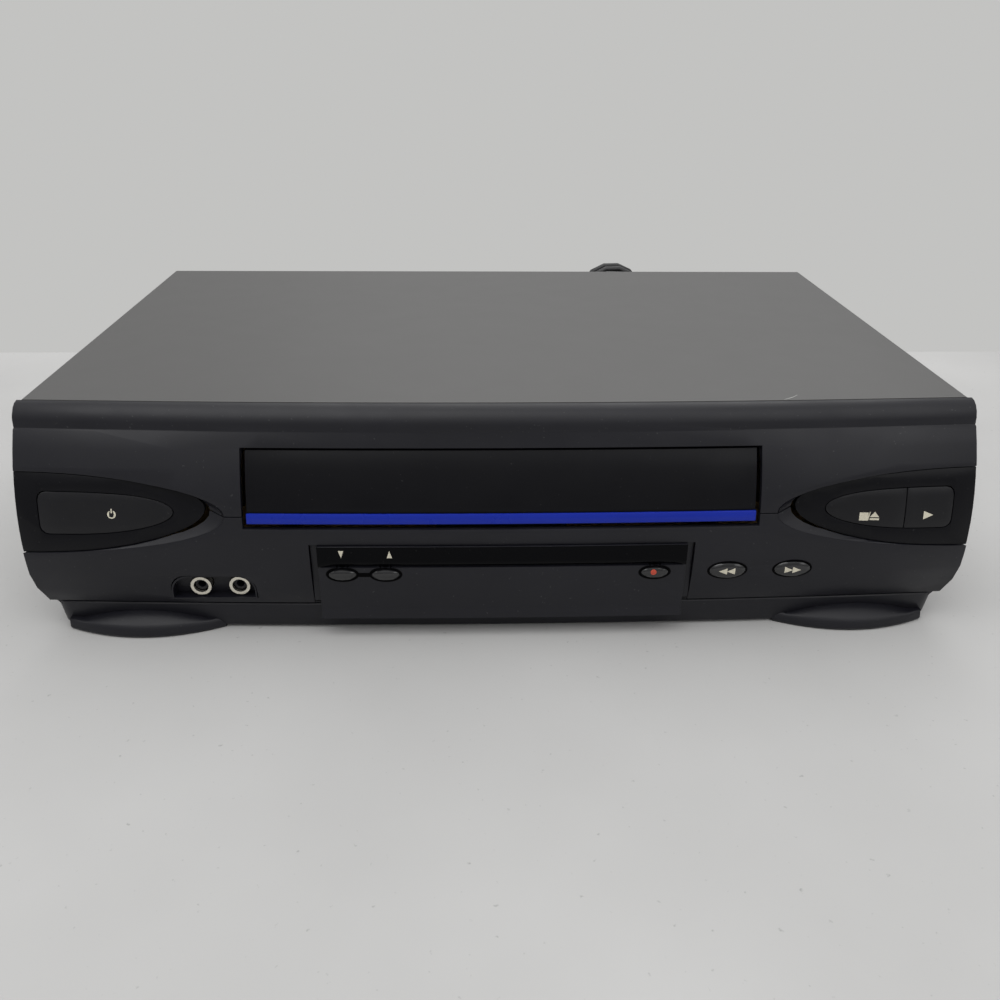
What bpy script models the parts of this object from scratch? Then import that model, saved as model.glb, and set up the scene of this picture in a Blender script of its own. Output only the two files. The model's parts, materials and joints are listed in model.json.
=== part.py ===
"""Front-loading video cassette recorder, built as separate pieces in metres.

X runs to the viewer's right, Y runs to the rear and Z runs up. The origin lies on the floor
under the middle of the case.
"""
import math

import bmesh
import bpy
from mathutils import Matrix, Vector

# Clearances shared by all pieces
GAP = 0.0003
OVERRUN = 0.004
WALL = 0.0024
SHEET = 0.0008
ARC_STEPS = 6
ROUND_STEPS = 20
SOCKET_STEPS = 16

# Case
COVER_WIDTH = 0.360
COVER_HALF_WIDTH = COVER_WIDTH / 2
CASE_HEIGHT = 0.089
COVER_DEPTH = 0.201
COVER_BEND_RADIUS = 0.0015
COVER_SIDE_BOTTOM = 0.0095
COVER_FLANGE_HEIGHT = 0.013
COVER_FLANGE_INSET = 0.012
VENT_WIDTH = 0.0026
VENT_PITCH = 0.0062
VENT_COUNT = 7
SIDE_VENT_HEIGHT = 0.022
SIDE_VENT_Z = 0.052
SIDE_VENT_Y = 0.118

# Front panel surface, reach is measured forward from the seam with the cover
PANEL_OVERHANG = 0.001
PANEL_HALF_WIDTH = COVER_HALF_WIDTH + PANEL_OVERHANG
PANEL_REACH = 0.0227
PANEL_BOW = 0.0047
PANEL_BOTTOM_Z = 0.0135
CREASE_FALL = 0.0088
CREASE_Z = CASE_HEIGHT - CREASE_FALL
CREASE_STEP = 0.0009
CREASE_DROP = 0.0004
BULGE_Z = 0.033
UPPER_FALL = 0.0147
LOWER_FALL = 0.0024
CORNER_Z = 0.027
CORNER_TAPER = 0.0042
NECK_INSET = 0.0011
NECK_DEPTH = 0.008
PANEL_STATIONS = 12
SHOULDER_STEPS = 5
UPPER_FACE_STEPS = 8
LOWER_FACE_STEPS = 3

# Cassette mouth and its door
MOUTH_HALF_WIDTH = 0.0972
MOUTH_FALL = 0.0050
MOUTH_TOP_Z = CREASE_Z - MOUTH_FALL
SILL_Z = 0.0466
DOOR_HALF_WIDTH = 0.0957
DOOR_PLAY = 0.0010
DOOR_TOP_Z = MOUTH_TOP_Z - DOOR_PLAY
DOOR_BOTTOM_Z = 0.0486
DOOR_SINK = 0.0013
DOOR_THICKNESS = 0.0022
DOOR_HINGE_RISE = 0.0020
DOOR_HINGE_Z = DOOR_TOP_Z + DOOR_HINGE_RISE
DOOR_HINGE_REACH = 0.0082
DOOR_PIN_RADIUS = 0.0011
DOOR_PIN_LENGTH = 0.0034
DOOR_EAR_WIDTH = 0.0022
DOOR_EAR_RADIUS = 0.0021
BAR_HEIGHT = 0.0038
BAR_SINK = 0.0002
BRACKET_GAP = 0.0016
BRACKET_THICKNESS = 0.0022
BRACKET_DROP = 0.0024
BRACKET_BOTTOM_Z = DOOR_TOP_Z - BRACKET_DROP

# Eye-shaped control panels at both ends of the front
EYE_MOUTH_MARGIN = 0.0141
EYE_TIP_X = MOUTH_HALF_WIDTH + EYE_MOUTH_MARGIN
EYE_TOP_FALL = 0.0137
EYE_TOP_Z = CREASE_Z - EYE_TOP_FALL
EYE_RISE = 0.0132
EYE_TIP_Z = EYE_TOP_Z - EYE_RISE
EYE_HEIGHT = 0.0303
EYE_BOTTOM_Z = EYE_TOP_Z - EYE_HEIGHT
EYE_STEPS = 12
SCOOP_LENGTH = 0.0074
SCOOP_TIP_X = EYE_TIP_X - SCOOP_LENGTH
SCOOP_TIP_FALL = 0.0020
SCOOP_TIP_Z = EYE_TIP_Z - SCOOP_TIP_FALL
SCOOP_DEPTH = 0.0030
SCOOP_END_INSET = 0.025
SCOOP_FADE_X = PANEL_HALF_WIDTH - SCOOP_END_INSET
EYE_SINK = 0.0003
EYE_THICKNESS = 0.0024
EYE_BUTTON_TIP_INSET = 0.0121
EYE_BUTTON_TIP_X = EYE_TIP_X + EYE_BUTTON_TIP_INSET
EYE_BUTTON_END_INSET = 0.0083
EYE_BUTTON_END_X = PANEL_HALF_WIDTH - EYE_BUTTON_END_INSET
EYE_BUTTON_FALL = 0.0015
EYE_BUTTON_Z = EYE_TIP_Z - EYE_BUTTON_FALL
EYE_BUTTON_HALF_HEIGHT = 0.0078
EYE_BUTTON_CORNER = 0.0030
EYE_BUTTON_POWER = 2.8
EYE_BUTTON_THICKNESS = 0.0030
PLAY_DIVIDE_SHARE = 0.622718
PLAY_DIVIDE_X = EYE_BUTTON_TIP_X + PLAY_DIVIDE_SHARE * (EYE_BUTTON_END_X - EYE_BUTTON_TIP_X)

# Small buttons
REWIND_X = 0.0870
FORWARD_X = 0.1126
SEARCH_Z = 0.0279
SEARCH_HALF_WIDTH = 0.0070
SEARCH_HALF_HEIGHT = 0.0034
CHANNEL_DOWN_X = -0.0611
CHANNEL_UP_X = -0.0447
RECORD_X = 0.0583
BEZEL_BUTTON_Z = 0.0284
BEZEL_BUTTON_HALF_WIDTH = 0.0052
BEZEL_BUTTON_HALF_HEIGHT = 0.0024
BUTTON_DOME = 0.0011
BUTTON_PROUD = 0.0003
BUTTON_BODY = 0.0040
BUTTON_TRAVEL = 0.0008
STEM_RADIUS = 0.0016
SWITCH_HALF_WIDTH = 0.0030
SWITCH_DEPTH = 0.0040
DOME_STEPS = 4

# Display bezel below the door
BEZEL_HALF_WIDTH = 0.0703
BEZEL_TOP_Z = 0.0402
BEZEL_BOTTOM_Z = 0.0048
BEZEL_PROUD = 0.0009
BEZEL_LIP_PROUD = 0.0006
BEZEL_LIP_HEIGHT = 0.0022
BEZEL_THICKNESS = 0.0026
BEZEL_FLANGE_WIDTH = 0.0026
BEZEL_FLANGE_SINK = 0.0040
BEZEL_FLANGE_BOTTOM_Z = 0.0150
WINDOW_BOTTOM_Z = 0.0314
WINDOW_THICKNESS = 0.0010
WINDOW_MARGIN = 0.0009

# Front sockets
FRONT_SOCKET_X = (-0.1164, -0.1016)
FRONT_SOCKET_Z = 0.0213
SOCKET_RECESS_LEFT_X = -0.1278
SOCKET_RECESS_RIGHT_X = -0.0949
SOCKET_RECESS_TOP_Z = 0.0267
SOCKET_RECESS_CORNER = 0.0065
SOCKET_RIM = 0.0005
SOCKET_RECESS_DEPTH = 0.0050
SLEEVE_RADIUS = 0.0040
SLEEVE_BORE = 0.00285
SLEEVE_PROUD = 0.0034
SLEEVE_SEAT = 0.0060
CORE_HOLE = 0.0016
GROUND_PLATE = 0.0008
GROUND_TAB_WIDTH = 0.0050

# Base
BASE_BOTTOM_Z = 0.0045
BASE_RIM_Z = 0.0132
BASE_BOTTOM_INSET = 0.0110
BASE_BOTTOM_HALF_WIDTH = COVER_HALF_WIDTH - BASE_BOTTOM_INSET
BASE_RIM_INSET = 0.0045
BASE_RIM_HALF_WIDTH = COVER_HALF_WIDTH - BASE_RIM_INSET
BASE_BOTTOM_REACH = 0.0180
BASE_RIM_REACH = 0.0190
BASE_REAR_INSET = 0.0010
BASE_STEPS = 12
BASE_VENT_LENGTH = 0.036
POST_RADIUS = 0.0032

# Feet
FRONT_FOOT_INSET = 0.0395
FRONT_FOOT_X = COVER_HALF_WIDTH - FRONT_FOOT_INSET
FRONT_FOOT_HALF_WIDTH = 0.0305
FRONT_FOOT_BULGE = 0.0072
FRONT_FOOT_REACH = 0.0195
FRONT_FOOT_BACK = 0.0130
FRONT_FOOT_EDGE_Z = 0.0016
FRONT_FOOT_TOP_Z = 0.0090
FRONT_FOOT_SOLE_INSET = 0.0008
FOOT_STEPS = 12
REAR_FOOT_SIDE_INSET = 0.045
REAR_FOOT_X = COVER_HALF_WIDTH - REAR_FOOT_SIDE_INSET
REAR_FOOT_RADIUS = 0.0090
REAR_FOOT_INSET = 0.024
REAR_FOOT_CHAMFER = 0.0008

# Boards
BOARD = 0.0016
BOARD_Z = 0.0145
BOARD_INNER_X = 0.1045
BOARD_SIDE_INSET = 0.0055
BOARD_OUTER_X = COVER_HALF_WIDTH - BOARD_SIDE_INSET
BOARD_FRONT_Y = 0.014
BOARD_REAR_INSET = 0.016
OPERATION_BOARD_Y = 0.0020
OPERATION_BOARD_BOTTOM_Z = 0.0170
OPERATION_BOARD_MIDDLE_Z = 0.0425
OPERATION_BOARD_FALL = 0.0250
OPERATION_BOARD_TOP_Z = CASE_HEIGHT - OPERATION_BOARD_FALL
OPERATION_BOARD_INSET = 0.0060
OPERATION_BOARD_HALF_WIDTH = COVER_HALF_WIDTH - OPERATION_BOARD_INSET
OPERATION_BOARD_BOSS_INSET = 0.0240
OPERATION_BOARD_STEP_X = 0.1060
OPERATION_BOARD_BOSSES = ((0.0840, 0.0365), (OPERATION_BOARD_HALF_WIDTH - OPERATION_BOARD_BOSS_INSET, 0.0235))
DISPLAY_TUBE_HALF_WIDTH = 0.0260
DISPLAY_TUBE_BOTTOM_Z = 0.0315
DISPLAY_TUBE_HEIGHT = 0.0100
DISPLAY_TUBE_DEPTH = 0.0070

# Rear
REAR_PANEL_INSET = 0.0095
REAR_PANEL_THICKNESS = 0.0020
REAR_PANEL_FALL = 0.0030
REAR_PANEL_TOP_Z = CASE_HEIGHT - REAR_PANEL_FALL
REAR_SOCKET_INSET = 0.0250
REAR_SOCKET_PITCH = 0.0160
REAR_SOCKET_X = (REAR_SOCKET_INSET - COVER_HALF_WIDTH, REAR_SOCKET_INSET + REAR_SOCKET_PITCH - COVER_HALF_WIDTH)
REAR_SOCKET_BASE_Z = 0.0280
REAR_SOCKET_Z = (REAR_SOCKET_BASE_Z, REAR_SOCKET_BASE_Z + REAR_SOCKET_PITCH)
REAR_BLOCK_MARGIN = 0.0072
REAR_BLOCK_DEPTH = 0.0140
REAR_SLEEVE_PROUD = 0.0075
TUNER_HALF_WIDTH = 0.0110
TUNER_INSET = 0.0610
TUNER_X = TUNER_INSET - COVER_HALF_WIDTH
TUNER_DEPTH = 0.0480
TUNER_BOTTOM_Z = 0.0190
TUNER_HEIGHT = 0.0510
RF_RADIUS = 0.0047
RF_BORE = 0.0015
RF_LENGTH = 0.0090
RF_Z = (0.0370, 0.0590)
SCREW_X = 0.1250
SCREW_HEAD_RADIUS = 0.0036
SCREW_HEAD_HEIGHT = 0.0018
SCREW_SHANK_RADIUS = 0.0014
SCREW_SHANK_LENGTH = 0.0070
SCREW_DOME_SHARE = 0.8
REAR_VENT_X = 0.020
REAR_VENT_Z = 0.060

# Power supply
TRANSFORMER_INSET = 0.0410
TRANSFORMER_X = COVER_HALF_WIDTH - TRANSFORMER_INSET
TRANSFORMER_Y = 0.146
TRANSFORMER_SIZE = (0.042, 0.036, 0.034)
BOBBIN_RADIUS = 0.0155
CAPACITOR_X = 0.1260
CAPACITOR_Y = 0.100
CAPACITOR_RADIUS = 0.0110
CAPACITOR_HEIGHT = 0.0300
CAPACITOR_EDGE = 0.0015

# Tape deck
DECK_Z = 0.0205
DECK_THICKNESS = 0.0012
DECK_HALF_WIDTH = 0.0970
DECK_FRONT_Y = 0.024
DECK_REAR_Y = 0.184
DRUM_Y = 0.150
DRUM_RADIUS = 0.0310
DRUM_TILT = math.radians(5.0)
DRUM_BASE_RADIUS = 0.0230
LOWER_DRUM_HEIGHT = 0.0150
UPPER_DRUM_HEIGHT = 0.0160
DRUM_LIFT = 0.0034
DRUM_BEAD = 0.0006
DRUM_STEPS = 32
ROTOR_RADIUS = 0.0190
ROTOR_HEIGHT = 0.0040
SHAFT_RADIUS = 0.0020
REEL_X = 0.0460
REEL_Y = 0.0750
REEL_RADIUS = 0.0190
REEL_HEIGHT = 0.0050
REEL_HUB_RADIUS = 0.0090
REEL_SPLINE_RADIUS = 0.0052
REEL_SPINDLE_TOP = 0.0190
REEL_SPLINE_COUNT = 6
CAPSTAN_X = 0.0558
CAPSTAN_Y = 0.1230
FLYWHEEL_RADIUS = 0.0210
FLYWHEEL_HEIGHT = 0.0050
CAPSTAN_TOP_Z = 0.0500
CAPSTAN_BEARING_RADIUS = 0.0045
CAPSTAN_BEARING_HEIGHT = 0.0110
CAPSTAN_BEARING_DROP = 0.0030
PINCH_PIVOT_X = 0.0818
PINCH_PIVOT_Y = 0.1300
PINCH_REST_ANGLE = math.radians(138.0)
PINCH_ROLLER_RADIUS = 0.0070
PINCH_ROLLER_HEIGHT = 0.0140
PINCH_ARM_THICKNESS = 0.0025
PINCH_ARM_Z = 0.0285
PINCH_ARM_HALF_WIDTH = 0.0040
PIVOT_RADIUS = 0.0020
ERASE_HEAD_X = -0.0600
ERASE_HEAD_Y = 0.1240
CONTROL_HEAD_X = 0.0458
CONTROL_HEAD_Y = 0.1437
HEAD_HALF_WIDTH = 0.0028
HEAD_HALF_DEPTH = 0.0040
HEAD_TOP_Z = 0.0470
GUIDE_START = (0.0282, 0.1060)
GUIDE_TRAVEL = 0.0360
GUIDE_LEAN = math.radians(12.0)
GUIDE_SLOT_WIDTH = 0.0036
GUIDE_BASE_HALF = 0.0055
GUIDE_BASE_HEIGHT = 0.0030
GUIDE_POST_RADIUS = 0.0030
GUIDE_POST_TOP = 0.0230
SPOOL_SHARE = 0.7
LOADING_MOTOR_X = 0.0835
LOADING_MOTOR_Y = 0.1590
LOADING_MOTOR_Z = 0.0355
LOADING_MOTOR_RADIUS = 0.0110
LOADING_MOTOR_LENGTH = 0.0260
WORM_RADIUS = 0.0032
WORM_LENGTH = 0.0100

# Cassette cage, its slider and the holder that the cassette rides in
CAGE_HALF_WIDTH = 0.0970
CAGE_SHEET = 0.0010
CAGE_FRONT_Y = 0.024
CAGE_REAR_Y = 0.116
CAGE_FALL = 0.0080
CAGE_TOP_Z = CASE_HEIGHT - CAGE_FALL
CAGE_FOOT_WIDTH = 0.0100
HOLDER_FRONT_Y = 0.0245
HOLDER_LENGTH = 0.0560
HOLDER_BOTTOM_Z = 0.0470
HOLDER_FALL = 0.0060
HOLDER_TOP_Z = CAGE_TOP_Z - HOLDER_FALL
HOLDER_LEDGE = 0.0110
HOLDER_TRAVEL = 0.034
HOLDER_DROP = 0.0205
HOLDER_PIN_RADIUS = 0.0015
HOLDER_PIN_Z = 0.0620
HOLDER_PIN_INSET = 0.0120
SLIDER_SHEET = 0.0012
SLIDER_FRONT_Y = 0.0300
SLIDER_LENGTH = 0.0460
SLIDER_BRIDGE_LENGTH = 0.0140
GEAR_MODULE = 0.00125
GEAR_TEETH = 12
GEAR_BACKLASH = 0.0003
GEAR_THICKNESS = 0.0032
GEAR_Z = 0.0262
GEAR_Y = 0.0700
RACK_TEETH = 11
TOOTH_STEPS = 2
PRESSURE_ANGLE = math.radians(20.0)

# Mains lead
CORD_RADIUS = 0.0017
CORD_EXIT_X = 0.1120
CORD_EXIT_Z = 0.0280
RELIEF_LENGTH = 0.0240
RELIEF_START_RADIUS = 0.0036
RELIEF_FLANGE_RADIUS = 0.0056
HANK_X = 0.0720
HANK_GAP = 0.0035
HANK_RUN = 0.0522
HANK_FOLD_RADIUS = 0.0103
HANK_PITCH = 0.0040
HANK_DRAW = 0.0045
HANK_LAYERS = 4
HANK_TURNS = 2
HANK_LOOP_POINTS = 24
CLIMB_SHARE = 0.1
FLOOR_CLEARANCE = 0.0002
LEAD_STEPS = 4
LEAD_TURN_SHARES = ((-1.6, 2.0, -0.7), (-3.3, 1.1, -2.0), (-4.3, -1.6, -3.0), (-5.4, -3.7, -2.8))
LEAD_ARRIVAL_SHARES = ((1.6, -2.4, -6.2), (0.3, -2.3, -4.2), (0.0, -1.2, -2.2))
TAIL_TURN_SHARES = ((-0.4, 0.8, 1.7), (-0.4, 2.3, 2.4), (-0.1, 3.8, 1.4), (0.0, 4.6, -0.6))
TAIL_ARRIVAL_SHARES = ((0.0, -3.0, 0.6),)
TIE_WIDTH = 0.0060
TIE_THICKNESS = 0.0010
TIE_CORNER = 0.0040
TIE_LIFT = 0.0060
PLUG_Y = 0.1800
PLUG_LENGTH = 0.0230
PLUG_RADIUS = 0.0110
PLUG_HALF_HEIGHT = 0.0100
PLUG_NECK_LENGTH = 0.0100
BLADE_LENGTH = 0.0160
BLADE_HALF_WIDTH = 0.0032
BLADE_SPREAD = 0.0064

# Places worked out from the sizes above
FRONT_REACH = (PANEL_REACH + PANEL_BOW * (1 - (CHANNEL_UP_X / PANEL_HALF_WIDTH) ** 2)
               + BEZEL_PROUD + BUTTON_PROUD + BUTTON_DOME)
SEAM_Y = (FRONT_REACH - COVER_DEPTH - GAP - SCREW_HEAD_HEIGHT) / 2
REAR_Y = SEAM_Y + COVER_DEPTH
NECK_HALF_WIDTH = COVER_HALF_WIDTH - SHEET - GAP
FLOOR_TOP_Z = BASE_BOTTOM_Z + WALL
DECK_TOP_Z = DECK_Z + DECK_THICKNESS
REAR_FACE_Y = REAR_Y - REAR_PANEL_INSET
DOOR_HINGE_Y = SEAM_Y - DOOR_HINGE_REACH
SWITCH_FACE_Y = SEAM_Y + OPERATION_BOARD_Y - SWITCH_DEPTH
GEAR_RADIUS = GEAR_MODULE * GEAR_TEETH / 2
RACK_PITCH = math.pi * GEAR_MODULE


# Mesh helpers

def clear_scene():
    """Remove every object that the file starts with."""
    for old in list(bpy.data.objects):
        bpy.data.objects.remove(old, do_unlink=True)


def make_material(name, colour, roughness, metallic=0.0, coat=0.0):
    """Return a Principled BSDF material."""
    material = bpy.data.materials.new(name)
    material.use_nodes = True
    shader = material.node_tree.nodes["Principled BSDF"]
    shader.inputs["Base Color"].default_value = (*colour, 1.0)
    shader.inputs["Roughness"].default_value = roughness
    shader.inputs["Metallic"].default_value = metallic
    shader.inputs["Coat Weight"].default_value = coat
    material.diffuse_color = (*colour, 1.0)
    return material


def solid_from(bm, name="solid"):
    """Turn a closed bmesh into an object with its faces pointing out."""
    bmesh.ops.recalc_face_normals(bm, faces=bm.faces)
    mesh = bpy.data.meshes.new(name)
    bm.to_mesh(mesh)
    bm.free()
    piece = bpy.data.objects.new(name, mesh)
    bpy.context.scene.collection.objects.link(piece)
    return piece


def loft(rings):
    """Close a skin through rings of equally many points and cap both ends."""
    bm = bmesh.new()
    loops = [[bm.verts.new(point) for point in ring] for ring in rings]
    for lower, upper in zip(loops, loops[1:]):
        for index, corner in enumerate(lower):
            after = (index + 1) % len(lower)
            bm.faces.new((corner, lower[after], upper[after], upper[index]))
    bm.faces.new(list(reversed(loops[0])))
    bm.faces.new(loops[-1])
    return solid_from(bm)


def prism(outline, start, end, axis):
    """Extrude a flat outline along X, Y or Z between two coordinates."""
    def place(point, depth):
        first, second = point
        if axis == "X":
            return (depth, first, second)
        if axis == "Y":
            return (first, depth, second)
        return (first, second, depth)
    return loft([[place(point, depth) for point in outline] for depth in (start, end)])


def block(low, high):
    """Extrude a rectangle between two opposite corners."""
    outline = [(low[0], low[1]), (high[0], low[1]), (high[0], high[1]), (low[0], high[1])]
    return prism(outline, low[2], high[2], "Z")


def rounded_rectangle(low, high, radius, steps=ARC_STEPS):
    """Return a rectangle outline with its four corners turned to arcs."""
    corners = ((high[0], high[1], 0), (low[0], high[1], 1), (low[0], low[1], 2), (high[0], low[1], 3))
    outline = []
    for x, y, quarter in corners:
        centre_x = x - radius if x == high[0] else x + radius
        centre_y = y - radius if y == high[1] else y + radius
        for step in range(steps + 1):
            angle = (quarter + step / steps) * math.pi / 2
            outline.append((centre_x + radius * math.cos(angle), centre_y + radius * math.sin(angle)))
    return outline


def ellipse(centre, half_width, half_height, steps=ROUND_STEPS):
    """Return the points of an upright ellipse."""
    angles = [2 * math.pi * step / steps for step in range(steps)]
    return [(centre[0] + half_width * math.cos(angle), centre[1] + half_height * math.sin(angle))
            for angle in angles]


def turned(profile, place, direction=(0, 0, 1), steps=ROUND_STEPS):
    """Turn a profile of (radius, height) points about an axis through place.

    A profile that leaves the axis and comes back to it makes a solid piece, and one that
    stays away from it makes a ring.
    """
    bm = bmesh.new()
    turn = Vector((0, 0, 1)).rotation_difference(Vector(direction)).to_matrix()
    rows = []
    for radius, height in profile:
        if radius == 0:
            rows.append([bm.verts.new(Vector(place) + turn @ Vector((0, 0, height)))])
            continue
        row = []
        for step in range(steps):
            angle = 2 * math.pi * step / steps
            spoke = Vector((radius * math.cos(angle), radius * math.sin(angle), height))
            row.append(bm.verts.new(Vector(place) + turn @ spoke))
        rows.append(row)
    pairs = list(zip(rows, rows[1:]))
    if len(rows[0]) > 1:
        pairs.append((rows[-1], rows[0]))
    for first, second in pairs:
        for step in range(steps):
            after = (step + 1) % steps
            corners = []
            for corner in (first[step % len(first)], first[after % len(first)],
                           second[after % len(second)], second[step % len(second)]):
                if corner not in corners:
                    corners.append(corner)
            if len(corners) > 2:
                bm.faces.new(corners)
    return solid_from(bm)


def rod(radius, start, end, steps=ROUND_STEPS):
    """Return a round bar between two points."""
    run = Vector(end) - Vector(start)
    profile = [(0, 0), (radius, 0), (radius, run.length), (0, run.length)]
    return turned(profile, start, run.normalized(), steps)


def combine(target, tool, operation):
    """Join, cut or clip the target by the tool, which is used up."""
    step = target.modifiers.new("step", "BOOLEAN")
    step.operation = operation
    step.solver = "EXACT"
    step.object = tool
    graph = bpy.context.evaluated_depsgraph_get()
    result = bpy.data.meshes.new_from_object(target.evaluated_get(graph))
    target.modifiers.clear()
    target.data = result
    bpy.data.objects.remove(tool, do_unlink=True)
    return target


def join(target, *tools):
    """Fuse pieces into the target."""
    for tool in tools:
        combine(target, tool, "UNION")
    return target


def cut(target, *tools):
    """Cut pieces out of the target."""
    for tool in tools:
        combine(target, tool, "DIFFERENCE")
    return target


def gathered(tools):
    """Gather separate tools into one, so that one step uses them all."""
    bm = bmesh.new()
    for tool in tools:
        bm.from_mesh(tool.data)
        bpy.data.objects.remove(tool, do_unlink=True)
    return solid_from(bm)


def clip(target, tool):
    """Keep only what the target shares with the tool."""
    return combine(target, tool, "INTERSECT")


def copy_of(piece):
    """Return a copy with a mesh of its own."""
    twin = piece.copy()
    twin.data = piece.data.copy()
    bpy.context.scene.collection.objects.link(twin)
    return twin


def finish(piece, name, material, origin=(0, 0, 0), smooth_angle=math.radians(32.0)):
    """Name a piece, give it its material and set its origin on its joint's axis."""
    piece.name = name
    piece.data.name = name
    piece.data.transform(Matrix.Translation(-Vector(origin)))
    piece.location = origin
    own = material.copy()
    own.name = name + "_finish"
    piece.data.materials.clear()
    piece.data.materials.append(own)
    for face in piece.data.polygons:
        face.material_index = 0
    piece.data.shade_smooth()
    piece.data.set_sharp_from_angle(angle=smooth_angle)
    return piece


# Front panel surface

def bow(x):
    """Return how far the front stands forward of its ends at x."""
    return PANEL_BOW * (1 - (x / PANEL_HALF_WIDTH) ** 2)


def face_reach(z):
    """Return the reach of the main face at its ends, below the crease."""
    if z >= BULGE_Z:
        return PANEL_REACH - UPPER_FALL * ((z - BULGE_Z) / (CREASE_Z - BULGE_Z)) ** 2
    return PANEL_REACH - LOWER_FALL * ((BULGE_Z - z) / (BULGE_Z - PANEL_BOTTOM_Z)) ** 2


def face_y(x, z):
    """Return the world Y of the main face."""
    return SEAM_Y - face_reach(z) - bow(x)


def end_inset(z):
    """Return how far the panel's end leans in at its lower corner."""
    if z >= CORNER_Z:
        return 0.0
    return CORNER_TAPER * ((CORNER_Z - z) / (CORNER_Z - PANEL_BOTTOM_Z)) ** 2


def section(end_share, inset=0.0):
    """Return the front's outline from the seam down to its bottom edge, as (reach, z).

    The crease is a small step that is deepest at the ends. A set-in outline leaves it out.
    """
    step_reach = 0.0 if inset else CREASE_STEP * end_share ** 2
    shoulder_reach = face_reach(CREASE_Z) - step_reach
    shoulder_drop = CASE_HEIGHT - CREASE_Z - CREASE_DROP
    shoulder_steps = SHOULDER_STEPS if inset else SHOULDER_STEPS + 1
    points = []
    for step in range(shoulder_steps):
        angle = step / SHOULDER_STEPS * math.pi / 2
        points.append((shoulder_reach * math.sin(angle),
                       CASE_HEIGHT - shoulder_drop * (1 - math.cos(angle))))
    for step in range(UPPER_FACE_STEPS + 1):
        z = CREASE_Z + (BULGE_Z - CREASE_Z) * step / UPPER_FACE_STEPS
        points.append((face_reach(z), z))
    for step in range(1, LOWER_FACE_STEPS + 1):
        z = BULGE_Z + (PANEL_BOTTOM_Z - BULGE_Z) * step / LOWER_FACE_STEPS
        points.append((face_reach(z), z))
    return points


def shifted_in(points, amount):
    """Move an open outline inward along its own normals."""
    moved = []
    for index, point in enumerate(points):
        before = Vector(points[max(index - 1, 0)])
        after = Vector(points[min(index + 1, len(points) - 1)])
        along = (after - before).normalized()
        moved.append((point[0] + along[1] * amount, point[1] - along[0] * amount))
    return moved


def panel_body(inset, side_inset, back_reach):
    """Loft the bowed front as a solid, set in all round and reaching back to back_reach."""
    rings = []
    for station in range(PANEL_STATIONS + 1):
        share = 2 * station / PANEL_STATIONS - 1
        outline = shifted_in(section(share, inset), inset)
        top_z = CASE_HEIGHT - inset
        bottom_z = PANEL_BOTTOM_Z + inset
        outline[0] = (back_reach, top_z)
        outline[-1] = (outline[-1][0], bottom_z)
        outline.append((back_reach, bottom_z))
        ring = []
        for reach, z in outline:
            x = share * (PANEL_HALF_WIDTH - side_inset - end_inset(z))
            ring.append((x, SEAM_Y - GAP / 2 - reach - bow(x), z))
        rings.append(ring)
    return loft(rings)


def panel_shell():
    """Return the hollow front with the neck that slips inside the cover."""
    shell = panel_body(0.0, 0.0, 0.0)
    join(shell, panel_body(NECK_INSET, PANEL_HALF_WIDTH - NECK_HALF_WIDTH, -NECK_DEPTH))
    return cut(shell, panel_body(WALL, PANEL_HALF_WIDTH - NECK_HALF_WIDTH + WALL / 2, -NECK_DEPTH - OVERRUN))


def half_ellipse(tip_x, tip_z, end_x, top_z, bottom_z, steps=EYE_STEPS):
    """Return an eye outline: quarter ellipses from a tip to flat ends at end_x."""
    upper, lower = [], []
    for step in range(steps + 1):
        angle = step / steps * math.pi / 2
        x = tip_x + (end_x - tip_x) * (1 - math.cos(angle))
        upper.append((x, tip_z + (top_z - tip_z) * math.sin(angle)))
        lower.append((x, tip_z - (tip_z - bottom_z) * math.sin(angle)))
    return upper, lower


def eye_edges(margin=0.0):
    """Return the upper and lower edge of the eye at the right end, grown by margin."""
    upper, lower = half_ellipse(EYE_TIP_X - margin, EYE_TIP_Z, PANEL_HALF_WIDTH,
                                EYE_TOP_Z + margin, EYE_BOTTOM_Z - margin)
    past_end = PANEL_HALF_WIDTH + OVERRUN
    upper.append((past_end, EYE_TOP_Z + margin))
    lower.append((past_end, EYE_BOTTOM_Z - margin))
    return upper, lower


def closed_eye(margin=0.0):
    """Return the eye's closed outline at the right end."""
    upper, lower = eye_edges(margin)
    return upper + list(reversed(lower[1:]))


def mirrored(outline):
    """Return an (x, z) outline on the other side of the middle."""
    return [(-x, z) for x, z in reversed(outline)]


def eye_sink(x):
    """Return how deep the eye lies under the main face at x."""
    share = (SCOOP_FADE_X - abs(x)) / (SCOOP_FADE_X - EYE_TIP_X)
    share = min(max(share, 0.0), 1.0)
    return EYE_SINK + (SCOOP_DEPTH - EYE_SINK) * share ** 2 * (3 - 2 * share)


def scoop(side):
    """Return the cutter that dishes the panels in towards one eye."""
    outer = half_ellipse(SCOOP_TIP_X, SCOOP_TIP_Z, PANEL_HALF_WIDTH + OVERRUN, EYE_TOP_Z, EYE_BOTTOM_Z)
    inner = half_ellipse(EYE_TIP_X - GAP, EYE_TIP_Z, PANEL_HALF_WIDTH + OVERRUN,
                         EYE_TOP_Z + GAP / 2, EYE_BOTTOM_Z - GAP / 2)
    outer_ring = outer[0] + list(reversed(outer[1][1:]))
    inner_ring = inner[0] + list(reversed(inner[1][1:]))
    front, rim, floor, back = [], [], [], []
    for (outer_x, outer_z), (inner_x, inner_z) in zip(outer_ring, inner_ring):
        surface = face_y(outer_x, outer_z)
        front.append((side * outer_x, surface - OVERRUN, outer_z))
        rim.append((side * outer_x, surface, outer_z))
        floor.append((side * inner_x, face_y(inner_x, inner_z) + eye_sink(inner_x), inner_z))
        back.append((side * inner_x, SEAM_Y + OVERRUN, inner_z))
    return loft([front, rim, floor, back])


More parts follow.
